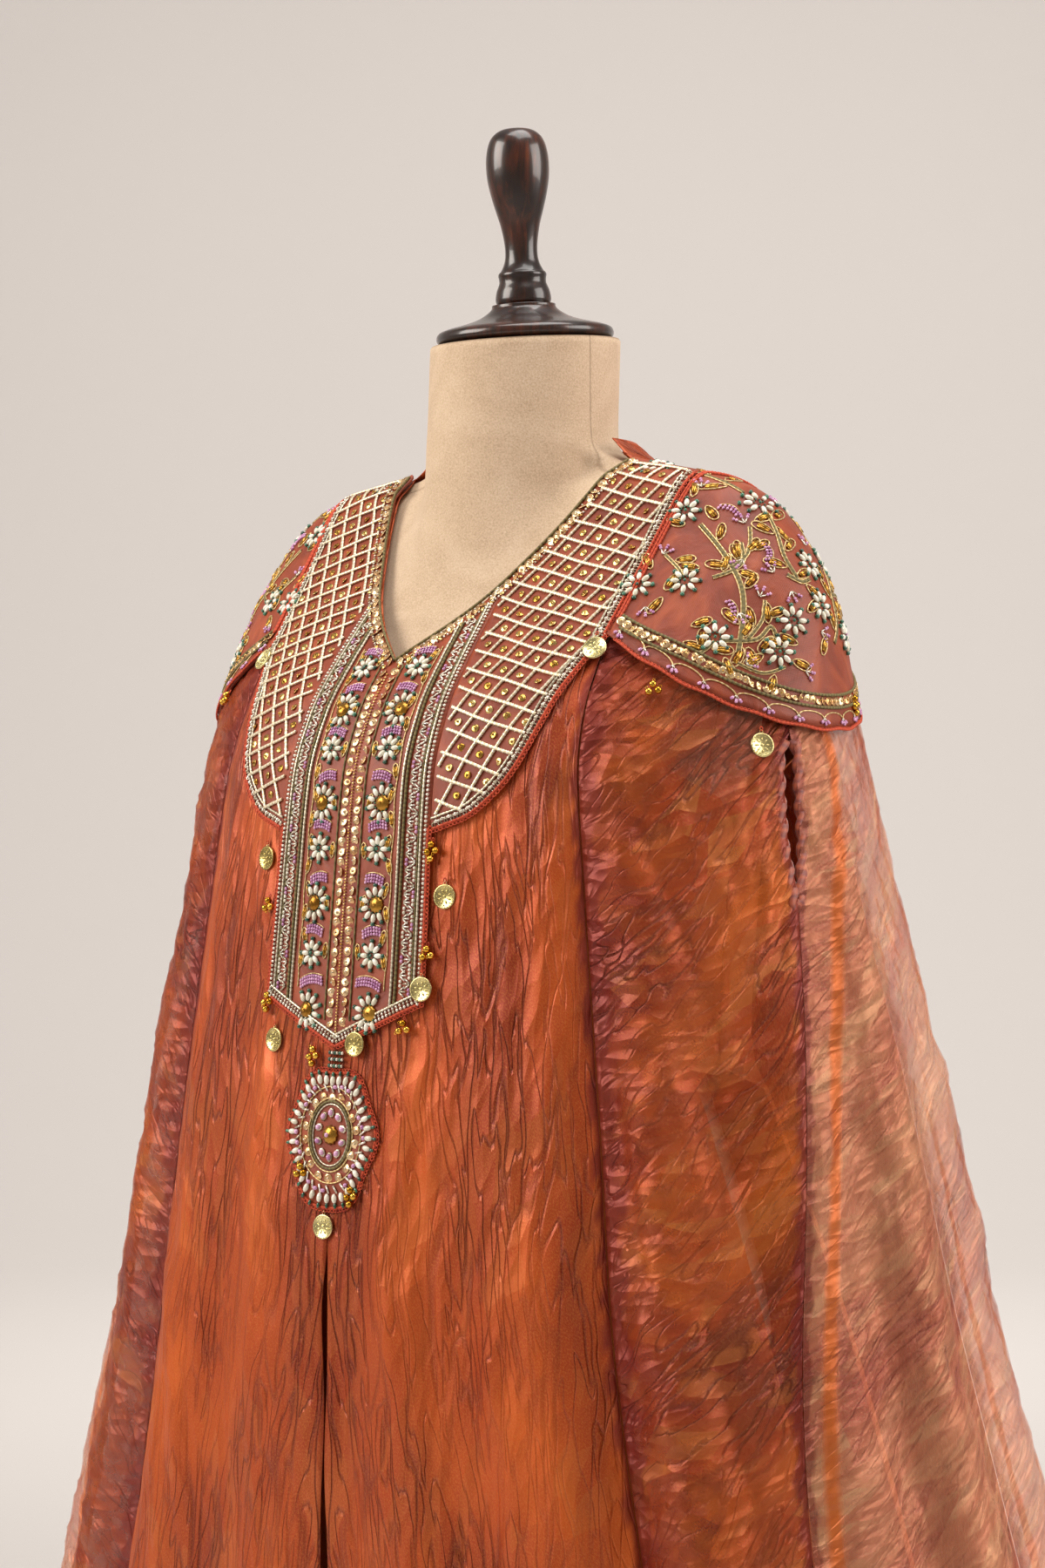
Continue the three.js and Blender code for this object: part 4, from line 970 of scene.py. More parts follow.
def shoulderCap(side, columns=84, rows=42):
    acrossShare = np.linspace(1, -1, columns + 1)[None, :]
    seamLow = cut["capSeam"] + 14
    steps = np.linspace(seamLow, capSeamTopZ, 300)
    turnAlong = garment.turnAt(capSeamX(steps) + cut["seamGap"], steps)
    widest = turnAlong[0]
    seamTurn = widest * acrossShare
    seamZ = np.interp(-np.abs(seamTurn), -turnAlong, steps)
    hemTurn = (cut["frontSeam"] - 0.09) * acrossShare
    t = np.linspace(0, 1, rows + 1)[:, None]
    z = lerp(seamZ, capHem(hemTurn), t ** 1.5)
    turn = lerp(seamTurn, hemTurn, t ** 1.5)
    rolled = 0.9 * clamp((t - 0.86) / 0.14)
    lift = cut["layerGap"] + 0.5
    return mirrored(turn, side), z, lift + cut["wall"] + rolled + 0 * turn, lift + 0 * turn


def yokePanel(side, columns=30, rows=66):
    cornerShare, shoulderShare, inset = 0.36, 0.42, 1
    s = np.linspace(0, 1, columns + 1)[None, :]
    t = np.linspace(0, 1, rows + 1)[:, None]
    innerZ = np.where(t <= cornerShare, lerp(1412, placketTopZ, t / cornerShare),
                      lerp(placketTopZ, cut["yokeFoot"], (t - cornerShare) / (1 - cornerShare)))
    innerX = np.where(t <= cornerShare, neckHalf(innerZ) + cut["layerGap"],
                      placketHalf(innerZ) + cut["seamGap"])
    along = yokeCurve(((t - shoulderShare) / (1 - shoulderShare))[:, 0])
    seamZ = lerp(capSeamTopZ, cut["capSeam"], clamp(t / shoulderShare) ** 1.3)
    outerZ = np.where(t <= shoulderShare, seamZ, along[:, 1:2])
    outerX = np.where(t <= shoulderShare, capSeamX(seamZ) - inset, along[:, 0:1])
    topX = lerp(94, cut["capSeamTop"] - inset, s)
    first = smooth(0.08, 0, t)
    x = lerp(lerp(innerX, outerX, s), topX, np.where(t == 0, 1, 0))
    z = lerp(lerp(innerZ, outerZ, s), ridgeHeight(topX), first)
    lift = yokeLift(z)
    turn = np.maximum(garment.turnAt(x, z), 8)
    return mirrored(turn, side), z, lift + cut["wall"], lift


def placketPanel(columns=44, rows=80):
    share = np.linspace(-1, 1, columns + 1)[None, :]
    reach = np.abs(share)
    topZ = neckHeightAt(np.minimum(reach * 52, 52)) - 0.5
    z = lerp(topZ, lerp(placketShape["point"], placketShape["corner"], reach),
             np.linspace(0, 1, rows + 1)[:, None])
    x = placketHalf(z) * share
    return garment.turnAt(x, z), z, bustLift(z) + cut["wall"], bustLift(z)


def appliedCloth():
    pieces = [("placket_cloth", placketPanel(), "placket", (0.13, 0.32), 0.033)]
    for side, hand in ((1, "left"), (-1, "right")):
        pieces.append(("cap_cloth_" + hand, shoulderCap(side), "shoulder_cap_" + hand, (0.33, 0.19), 0.037))
        pieces.append(("yoke_cloth_" + hand, yokePanel(side), "yoke_" + hand, (0.13, 0.27), 0.020))
    for name, (turn, z, outer, inner), node, flat, area in pieces:
        outerPoints, innerPoints = garment.at(turn, z, outer), garment.at(turn, z, inner)
        made = shellOf(name, outerPoints, innerPoints, yokeCloth, clothUv(outerPoints))
        settle(made, "yoke_cloth", node)


appliedCloth()
print("yoke, placket and caps")

# Thread, beads and coins: each small thing is modelled once, then sewn on in joined copies.
# A chart gives turn and height for a place across and up, both in millimetres.

runZ = np.linspace(900, 1428, 500)
runUp = np.concatenate([[0], np.cumsum(np.hypot(np.diff(runZ), np.diff(garment.front(runZ))))])


def upAt(z):  # how far up the chest a height is, along the cloth
    return np.interp(z, runZ, runUp)


def frontChart(side=1):
    def place(u, v):
        z = np.interp(v, runUp, runZ)
        return garment.turnAt(side * np.asarray(u, float), z), z
    return place


class Patch:  # a flat chart laid on the surface round one place
    def __init__(self, turn, z, side=1):
        self.turn, self.z, self.side = turn, z, side
        alongTurn = garment.pointMm(turn + 0.5, z) - garment.pointMm(turn - 0.5, z)
        alongUp = (garment.pointMm(turn, z + 1) - garment.pointMm(turn, z - 1)) / 2
        self.perTurn = np.linalg.norm(alongTurn)
        right = alongTurn / self.perTurn
        self.skew = alongUp @ right
        self.perUp = math.sqrt(max(alongUp @ alongUp - self.skew ** 2, 1e-6))

    def __call__(self, u, v):
        dz = np.asarray(v, float) / self.perUp
        return mirrored(self.turn + (u - dz * self.skew) / self.perTurn, self.side), self.z + dz

    def toward(self, turn, z):
        dz = z - self.z
        return math.atan2(dz * self.perUp, (turn - self.turn) * self.perTurn + dz * self.skew)


def onFront(turn, z):  # the top of the placket, the yoke or the cloth
    x = np.abs(garment.half(z) * np.cos(np.radians(turn)))
    return np.where(x < placketHalf(z), bustLift(z), yokeLift(z)) + cut["wall"]


def onCap(turn, z):
    oneSide = np.where(np.asarray(turn) > 90, 180 - turn, turn)
    return cut["layerGap"] + 0.5 + cut["wall"] + 0.9 * clamp(1 - (z - capHem(oneSide)) / 20)


def onCloth(turn, z):
    return 0.8 + 0 * z


def beadShape(segments, squash):
    bpy.ops.mesh.primitive_ico_sphere_add(subdivisions=segments, radius=1)
    made = startEdit()
    bpy.ops.transform.resize(value=squash)
    return readMesh(made)


def bugleShape():  # a short glass tube, its ends drawn in
    bpy.ops.mesh.primitive_cylinder_add(vertices=6, radius=0.24, depth=2, rotation=(0, math.pi / 2, 0))
    made = bpy.context.object
    bpy.ops.object.transform_apply(rotation=True)
    pickFaces(made, lambda f: abs(f.normal.x) > 0.9)
    bpy.ops.mesh.inset(thickness=0.09)
    return readMesh(made)


def sequinShape():  # a cupped disc, pressed in at the middle where the thread holds it
    bpy.ops.mesh.primitive_cylinder_add(vertices=10, radius=1, depth=0.12)
    made = bpy.context.object
    pickFaces(made, lambda f: f.normal.z > 0.9)
    for inset, rise in ((0.38, -0.10), (0.34, 0.22)):
        bpy.ops.mesh.inset(thickness=inset)
        bpy.ops.transform.translate(value=(0, 0, rise))
    return readMesh(made)


def domeShape():  # a pressed rosette: a low dome with ribs
    bpy.ops.mesh.primitive_uv_sphere_add(segments=24, ring_count=8, radius=1)
    made = startEdit()
    bpy.ops.mesh.bisect(plane_co=(0, 0, 0), plane_no=(0, 0, 1), clear_inner=True, use_fill=True)
    bpy.ops.object.mode_set(mode="OBJECT")
    for v in made.data.vertices:
        rib = 1 - 0.13 * (round(math.atan2(v.co.y, v.co.x) / (2 * math.pi) * 24) % 2)
        v.co = (v.co.x * rib, v.co.y * rib, v.co.z * 0.55)
    return readMesh(made)


def loopShape():  # one loop of picot or purl, lying flat
    bpy.ops.mesh.primitive_torus_add(major_segments=8, minor_segments=4, major_radius=0.72,
                                     minor_radius=0.28)
    made = startEdit()
    bpy.ops.transform.resize(value=(0.85, 1.15, 0.9))
    return readMesh(made)


def bellShape():  # a small round bell with its slot and its ring
    bpy.ops.mesh.primitive_uv_sphere_add(segments=12, ring_count=8, radius=1)
    ball = bpy.context.object
    pickFaces(ball, lambda f: f.center.y < -0.35 and abs(f.center.x) < 0.2)
    bpy.ops.mesh.inset(thickness=0.05)
    bpy.ops.transform.resize(value=(0.9, 0.93, 0.9))
    points, faces = readMesh(ball)
    bpy.ops.mesh.primitive_torus_add(major_segments=8, minor_segments=4, major_radius=0.34,
                                     minor_radius=0.1, location=(0, 1.2, 0))
    bpy.ops.object.transform_apply(location=True)
    ringPoints, ringSides = readMesh(bpy.context.object)
    return (np.concatenate([points, ringPoints]),
            faces + [tuple(k + len(points) for k in face) for face in ringSides])


coin = {"radius": 7.5, "thick": 1.5, "rim": 6.1, "field": 0.45, "petals": 8, "rimBeads": 24, "boss": 1.5}


def coinShape():  # struck with a plain rosette in a ring of beads
    top, field = coin["thick"], coin["thick"] - coin["field"]
    bpy.ops.mesh.primitive_cylinder_add(vertices=32, radius=coin["radius"], depth=top,
                                        location=(0, 0, top / 2))
    made = bpy.context.object
    bpy.ops.object.transform_apply(location=True)
    pickFaces(made, lambda f: f.normal.z > 0.9)
    bpy.ops.mesh.inset(thickness=coin["radius"] - coin["rim"] - 0.5)
    bpy.ops.mesh.inset(thickness=0.5)
    bpy.ops.transform.translate(value=(0, 0, -coin["field"]))
    points, faces = readMesh(made)
    relief = []  # how far out, how many, the first one's turn, size and height
    for out, count, turn, size, height in (
            (coin["radius"] - 0.85, coin["rimBeads"], 0, (0.42, 0.42, 0.4), top),
            (3.5, coin["petals"], 0, (1.6, 0.75, 0.5), field),
            (5.35, coin["petals"], 0.5, (0.5, 0.5, 0.45), field),
            (0, 1, 0, (coin["boss"], coin["boss"], 0.6), field)):
        relief += [(out, 2 * math.pi * (k + turn) / count, size, height) for k in range(count)]
    ball, ballFaces = beadShape(1, (1, 1, 1))
    for out, angle, size, height in relief:
        c, s = math.cos(angle), math.sin(angle)
        x, y, z = (ball * np.array(size) + np.array([out, 0, 0])).T
        faces = faces + [tuple(k + len(points) for k in face) for face in ballFaces]
        points = np.concatenate([points, np.stack([x * c - y * s, x * s + y * c, z + height], axis=1)])
    return points, faces


select(scene.objects["stand_plate"])
bpy.ops.object.select_all(action="DESELECT")
seed = beadShape(1, (0.85, 1, 0.9))
oval = beadShape(2, (1, 0.56, 0.5))
bugle, sequin, dome, loop, bell = bugleShape(), sequinShape(), domeShape(), loopShape(), bellShape()
struckCoin = coinShape()


def threadOrGlass(name, low, high, settings, grainMm=1.1, bumpMm=0.12):
    # One colour runs into another from bead to bead, and fine grain breaks up the gloss.
    material, shader, add = newMaterial(name, settings)
    tone = add("Attribute", attribute_name="tone").outputs["Fac"]
    place = add("TexCoord").outputs["Object"]
    grain = add("TexNoise", {"Vector": place, "Scale": 1 / (grainMm * mm), "Detail": 1.0})
    ramp = add("ValToRGB", (add("MixRGB", (0.35, tone, grain)),), ((0.15, low), (0.85, high)))
    setInputs(shader, {"Base Color": ramp, "Normal": add("Bump", {
        "Height": grain, "Distance": bumpMm * mm, "Strength": 0.7})})
    return material


glass = {"Roughness": 0.16, "IOR": 1.5, "Coat Weight": 0.5, "Coat Roughness": 0.05}
metalThread = {"Roughness": 0.4, "Metallic": 0.6}
finishLooks = {  # slot, word that names its piece, material, colours, settings, grain and relief in mm
    "paleCord": ("beadwork", "lattice_cords", "pale gilt purl, couched", "#D8C49A", "#FFF6E2", metalThread),
    "goldCord": ("beadwork", "gold_cords", "gilt thread, couched", "#B08A46", "#F0DCA8", metalThread),
    "oliveCord": ("beadwork", "olive_cords", "silk cord, olive", "#4E4426", "#8C7E4C", {"Roughness": 0.7}),
    "silverCord": ("beadwork", "silver_cords", "silvered cord, tarnished", "#A3967A", "#F2EAD4",
                   {"Roughness": 0.32, "Metallic": 0.7}),
    "coral": ("yoke_cloth", "picot", "crochet cotton, coral red", "#A8351C", "#D4552F", {"Roughness": 0.75}),
    "silverBead": ("beadwork", "silver_beads", "silver-lined glass", "#B4A88E", "#FFFAEC",
                   {**glass, "Metallic": 0.45}),
    "goldSequin": ("beadwork", "gold_sequins", "gilt sequins", "#B98A2E", "#F6DE94",
                   {"Roughness": 0.2, "Metallic": 0.85}),
    "peachSequin": ("beadwork", "peach_sequins", "rose-gilt sequins", "#D29A62", "#FBDDAE",
                    {"Roughness": 0.22, "Metallic": 0.7}),
    "amber": ("beadwork", "gold_bugles", "gilt bugles and rosettes", "#8A5A16", "#D9A648",
              {"Roughness": 0.24, "Metallic": 0.8}),
    "cream": ("beadwork", "cream_beads", "opaque glass, cream", "#DCD6BE", "#F8F5E6", glass),
    "green": ("beadwork", "green_beads", "glass, bottle green", "#0E3A28", "#3F7F62",
              {**glass, "Roughness": 0.08}),
    "lilac": ("beadwork", "lilac_beads", "opaque glass, lilac", "#B978AE", "#EBB8DC", glass),
    "gilt": ("gilt_metal", "coins", "struck gilt brass, pale", "#B7A25E", "#EADFA6",
             {"Roughness": 0.27, "Metallic": 0.95}, 2.5, 0.05),
    "boundEdge": ("sheer_organza", "binding", "organza binding, rolled", "#6E2420", "#B4552E",
                  {"Roughness": 0.5, "Sheen Weight": 0.3}, 7.0, 0.6),
    "bellBrass": ("gilt_metal", "bells", "polished brass", "#B07A1C", "#E7B84E",
                  {"Roughness": 0.16, "Metallic": 1.0}, 3.0, 0.03),
}
finishes = {finish: (threadOrGlass(*look), slot, word)
            for finish, (slot, word, *look) in finishLooks.items()}
sewn = {}  # by region and finish: points, faces and tones
chance = np.random.default_rng(7)


def runAlong(points):  # the distance to each point of a line
    return np.concatenate([[0], np.cumsum(np.linalg.norm(np.diff(points, axis=0), axis=1))])


class Needle:  # sews and couches on one region, where a chart of it and a lift say
    def __init__(self, region, chart, lift=onFront):
        self.region, self.chart, self.lift = region, chart, lift

    def keep(self, finish, points, faces, tone):
        held = sewn.setdefault((self.region, finish), {"points": [], "faces": [], "tone": [], "count": 0})
        held["faces"] += [tuple(k + held["count"] for k in face) for face in faces]
        held["points"].append(points.reshape(-1, 3) * mm)
        held["tone"].append(tone)
        held["count"] += len(tone)

    def sew(self, finish, shape, u, v, angle=0.0, size=1.0, sit=0.0, tilt=0.0):
        u, v, angle, size = (np.atleast_1d(a).astype(float) for a in np.broadcast_arrays(u, v, angle, size))
        turn, z = self.chart(u, v)
        flat, out = garment.pointMm(turn, z), garment.normal(turn, z)
        spot = flat + out * (self.lift(turn, z) + sit)[..., None]
        along = garment.pointMm(*self.chart(u + 0.5 * np.cos(angle), v + 0.5 * np.sin(angle))) - flat
        along = unit(along - out * np.sum(along * out, axis=-1, keepdims=True))
        if tilt:  # no two sequins lie quite flat
            lean = chance.normal(0, tilt, (len(u), 2))
            out = unit(out + along * lean[:, :1] + np.cross(out, along) * lean[:, 1:])
            along = unit(along - out * np.sum(along * out, axis=-1, keepdims=True))
        points, faces = shape
        local = points[None] * size[:, None, None]
        aside = np.cross(out, along)
        made = spot[:, None] + (local[..., :1] * along[:, None] + local[..., 1:2] * aside[:, None]
                                + local[..., 2:] * out[:, None])
        base = np.arange(len(u))[:, None, None] * len(points)
        byLength = {}
        for face in faces:
            byLength.setdefault(len(face), []).append(face)
        allFaces = [tuple(row) for group in byLength.values()
                    for row in (np.array(group)[None] + base).reshape(-1, len(group[0])).tolist()]
        self.keep(finish, made, allFaces, np.repeat(chance.uniform(0, 1, len(u)), len(points)))

    def couch(self, finish, line, width, height=None, sit=0.0, shift=0.0, step=1.5, sides=5, twist=0.0,
              closed=False, taper=False):
        # A cord laid along a line and stitched down; a twisted one has two strands.
        height = height or width
        turn, z = self.chart(line[:, 0], line[:, 1])
        run = runAlong(garment.pointMm(turn, z))
        if run[-1] < 1:
            return
        at = np.linspace(0, run[-1], max(int(run[-1] / step), 3) + 1)
        turn, z = np.interp(at, run, turn), np.interp(at, run, z)
        flat, out = garment.pointMm(turn, z), garment.normal(turn, z)
        ahead = unit(np.gradient(flat, axis=0))
        if closed:
            ahead[0] = ahead[-1] = unit(flat[1] - flat[-2])
        aside = unit(np.cross(out, ahead))
        middle = flat + out * (self.lift(turn, z) + sit + height * 0.42)[:, None] + aside * shift
        if closed:
            middle, out, aside, at = middle[:-1], out[:-1], aside[:-1], at[:-1]
        rings = len(middle)
        angle = np.arange(sides) * 2 * math.pi / sides
        grown = (0.35 + 0.65 * np.linspace(1, 0, rings) ** 0.8 if taper else np.ones(rings))[:, None]
        bulge = 1 + 0.30 * np.cos(2 * (angle - (at * 2 * math.pi / twist)[:, None])) if twist else 1
        wide = (np.cos(angle) * bulge * width / 2 * grown)[..., None]
        high = (np.sin(angle) * bulge * height / 2 * (0.5 + 0.5 * grown))[..., None]
        faces = ringFaces(rings if closed else rings - 1, sides, closed)
        if not closed:
            faces += [tuple(range(sides))[::-1], tuple(range((rings - 1) * sides, rings * sides))]
        self.keep(finish, middle[:, None] + aside[:, None] * wide + out[:, None] * high, faces,
                  np.repeat(0.5 + 0.5 * np.sin(at * 2.1 + chance.uniform(0, 6)), sides))


def spaced(line, pitch, start=0.0):  # places and angles along a line, evenly spaced
    run = runAlong(line)
    at = np.arange(start, run[-1], pitch)
    (u, v), (u0, v0), (u1, v1) = ([np.interp(at + off, run, line[:, k]) for k in (0, 1)]
                                  for off in (0, -0.5, 0.5))
    return u, v, np.arctan2(v1 - v0, u1 - u0)


def placed(u, v, angle, along, aside=0.0):  # a place along a direction from u, v, and aside of it
    c, s = np.cos(angle), np.sin(angle)
    return u + along * c - aside * s, v + along * s + aside * c


def shifted(line, by):  # the same line, moved to its left
    ahead = np.gradient(line, axis=0)
    ahead = ahead / np.maximum(np.linalg.norm(ahead, axis=1, keepdims=True), 1e-9)
    return line + by * np.stack([-ahead[:, 1], ahead[:, 0]], axis=1)


def distanceTo(line, spots):
    a, b, p = line[:-1][None], line[1:][None], spots[:, None]
    share = clamp(np.sum((p - a) * (b - a), axis=-1) / np.maximum(np.sum((b - a) ** 2, axis=-1), 1e-9))
    return np.linalg.norm(p - a - share[..., None] * (b - a), axis=-1).min(axis=1)


def insideOf(ring, spots):
    inside = np.zeros(len(spots), bool)
    for (x0, y0), (x1, y1) in zip(ring, np.roll(ring, -1, axis=0)):
        crosses = (y0 > spots[:, 1]) != (y1 > spots[:, 1])
        inside ^= crosses & (spots[:, 0] < (x1 - x0) * (spots[:, 1] - y0) / ((y1 - y0) or 1e-9) + x0)
    return inside


# The motifs, each worked by a needle.

def flower(by, u=0.0, v=0.0, radius=5.4, spread=(0, 360), heart="green", petals=8):
    angles = np.radians(np.linspace(*spread, petals, endpoint=spread[1] - spread[0] < 360))
    half = angles + (angles[1] - angles[0]) / 2
    by.sew("cream", oval, *placed(u, v, angles, radius), angles, 3.0, 1.1)
    by.sew("green", seed, *placed(u, v, angles, radius + 3.6), angles, 1.75, 0.9)
    by.sew("green", seed, *placed(u, v, half, radius - 3.0), half, 0.8, 0.8)
    if heart:
        by.sew(heart, seed, u, v, 0, 1.3, 1.6)


def leaf(by, u, v, angle, length, width):
    t = np.linspace(0, 2 * math.pi, 25)
    aside = width / 2 * np.sin(t) * np.abs(np.sin(t / 2)) ** 0.35 * 1.05
    outline = np.stack(placed(u, v, angle, length / 2 * (1 - np.cos(t)), aside), axis=1)
    by.couch("goldCord", outline, 0.95, step=1.6)
    for off in (-0.75, 0.75):
        by.sew("amber", bugle, *placed(u, v, angle, length * 0.5, off), angle, length * 0.29, 0.7)


def triad(by, u, v, angle, stalk=4.2):
    for spread in (-0.75, 0.0, 0.75):
        a = angle + spread
        by.sew("silverBead", bugle, *placed(u, v, a, stalk * 0.55), a, stalk * 0.45, 0.7)
        for out in (1.25, 1.68):
            by.sew("lilac", seed, *placed(u, v, a, stalk * out), a, 1.15, 0.9)


def lilacBar(by, u, v, angle, length, rows, bend):
    def bent(along, aside):
        return placed(u, v, angle, along, aside - bend * along ** 2 / length * 2)
    for row in range(rows):
        along = np.linspace(-length / 2, length / 2, max(int(length / 1.75), 3))
        by.sew("lilac", seed, *bent(along, (row - (rows - 1) / 2) * 2.0), angle, 1.12, 0.8)
    edge = np.linspace(-length / 2 - 1, length / 2 + 1, 12)
    by.couch("goldCord", np.stack(bent(edge, rows + 0.6), axis=1), 0.7, step=2.0)


def picotEdge(by, line, out=0.6, pitch=2.5, size=1.5):
    u, v, angle = spaced(shifted(line, out), pitch)
    by.sew("coral", loop, u, v, angle + math.pi / 2, size, 0.5, 0.15)
    by.couch("coral", shifted(line, -0.9), 1.7, height=1.5, step=0.9, twist=3.0)


def loopedBorder(by, line):  # cord, then loops of silver beads
    by.couch("silverCord", shifted(line, -7.2), 1.6, step=0.9, twist=3.2)
    u, v, angle = spaced(shifted(line, -4.3), 4.4)
    for out in (-1.3, 1.3):
        by.sew("silverBead", seed, *placed(u, v, angle, out), angle, 1.05, 0.8)
    by.sew("silverBead", seed, u, v, angle, 1.35, 1.4)
    by.sew("silverCord", loop, *spaced(shifted(line, -2.6), 4.4), 1.75, 0.5, 0.2)


# The yoke: a lattice of purl, a sequin in each cell, and its borders.

def onChart(x, z):  # a line on the front's chart, from its places across and its heights
    return np.stack([x, upAt(z)], axis=1)


neckZ = np.linspace(neckline["z"][-1], neckline["z"][0] - 3, 60)
neckLine = onChart(neckHalf(neckZ), neckZ)
capSeamZ = np.linspace(cut["capSeam"], capSeamTopZ - 2, 30)
capSeamLine = onChart(capSeamX(capSeamZ) - 1, capSeamZ)
outerLine = onChart(*yokeCurve(np.linspace(0, 1, 60)).T)
sideZ = np.linspace(cut["yokeFoot"], placketTopZ, 40)
placketLine = onChart(placketHalf(sideZ) + 0.5, sideZ)
yokeRing = np.concatenate([placketLine, neckLine[neckLine[:, 0] > 52.5], capSeamLine[::-1], outerLine])
lattice = {"cell": 13.6, "cord": 2.3, "strand": 3.4, "margin": 7.6, "neckMargin": 9.6, "placketMargin": 5.0,
           "crossing": 96, "sequin": 2.5, "each": 12}
neckAngle = math.atan2(upAt(1400) - upAt(1312), float(neckHalf(1400) - neckHalf(1312)))


def latticeOn(side, hand):
    by = Needle("yoke_" + hand, frontChart(side))

    def isClear(spots, room):  # inside the yoke's borders
        good = insideOf(yokeRing, spots)
        for line, margin in ((neckLine, "neckMargin"), (placketLine, "placketMargin"),
                             (capSeamLine, "margin"), (outerLine, "margin")):
            good &= distanceTo(line, spots) > lattice[margin] + room
        return good
    crossing, count = math.radians(lattice["crossing"]), lattice["each"]
    ways = [np.array([math.cos(a), math.sin(a)]) for a in (neckAngle, neckAngle + crossing)]
    origin = np.array([94.0, float(upAt(1300))])
    along = np.arange(-200, 200, 1.0)
    for above, ahead in enumerate(ways):
        for k in range(-count, count + 1):
            wobble = 0.35 * np.sin(along / 9 + 1.7 * k + side)
            spots = origin + np.array([-ahead[1], ahead[0]]) * (k * lattice["cell"] + wobble[:, None]) \
                + ahead * along[:, None]
            inside = np.flatnonzero(isClear(spots, -2.5))
            for part in np.split(inside, np.flatnonzero(np.diff(inside) > 1) + 1):
                if len(part) > 5:
                    by.couch("paleCord", spots[part], lattice["cord"], height=1.7, sit=0.5 * above, step=0.75,
                             twist=lattice["strand"])
    i, j = np.meshgrid(*[np.arange(-count, count + 1) + 0.5] * 2)
    centres = origin + (i.ravel()[:, None] * ways[0] + j.ravel()[:, None] * ways[1]) * lattice["cell"] \
        / math.sin(crossing)
    u, v = centres[isClear(centres, 1)].T
    by.sew("goldSequin", sequin, u, v, 0, lattice["sequin"], 0.5, 0.22)
    by.sew("amber", seed, u, v, 0, 0.75, 1.3)
    picotEdge(by, outerLine, out=0.8)
    picotEdge(by, capSeamLine[::-1], out=0.2, pitch=3.0, size=1.3)
    loopedBorder(by, outerLine)
    loopedBorder(by, capSeamLine[::-1])


def neckBorder(side, hand):  # sequins round the neck, with a narrow binding at the very edge
    by = Needle("neck_" + hand, frontChart(side))
    u, v, angle = spaced(shifted(neckLine, -4.3), 6.3, 2.0)
    by.sew("peachSequin", sequin, u, v, angle, 3.3, 0.6, 0.2)
    by.sew("silverBead", seed, u, v, angle, 0.9, 1.5)
    by.couch("oliveCord", shifted(neckLine, -0.4), 1.6, height=2.0, step=1.6)
    u, v, angle = spaced(shifted(neckLine, -8.6), 2.6)
    u, v, angle = u[u > 6], v[u > 6], angle[u > 6]
    by.sew("silverBead", seed, u, v, angle, 1.0, 0.8)
    by.sew("goldSequin", sequin, u[::3], v[::3], angle[::3], 1.5, 1.3, 0.3)


# The placket: sequins down the middle, a column of motifs, cords and a fanned band.

placketMotifs = {  # height of each, down one side; the middle of the column wanders with it
    "flower": (1277, 1227, 1166, 1101), "dome": (1251, 1194, 1132, 1066),
    "bar": (1288, 1265, 1238, 1211, 1181, 1148, 1116, 1085),
    "innerLeaf": (1278, 1248, 1222, 1190, 1160, 1128, 1098),
}
placketColumn = {"sequins": 5.4, "sequinEdge": 10.4, "innerLeaf": 14.5, "motif": 25, "vine": 36.5,
                 "cords": (41.5, 44.5), "bandIn": 47, "bandOut": 55.5, "outerCord": 58}


def acrossPlacket(share, z):  # a column that narrows with the placket
    return placketHalf(z) * share / placketShape["footHalf"]


def footAt(u):
    return lerp(placketShape["point"], placketShape["corner"], np.abs(u) / placketShape["footHalf"])


def column(share, topGap, footGap, each=2.5):
    z = np.arange(footAt(share) + footGap, float(neckHeightAt(min(share * 0.82, 51.9))) - topGap, each)
    return onChart(acrossPlacket(share, z), z)


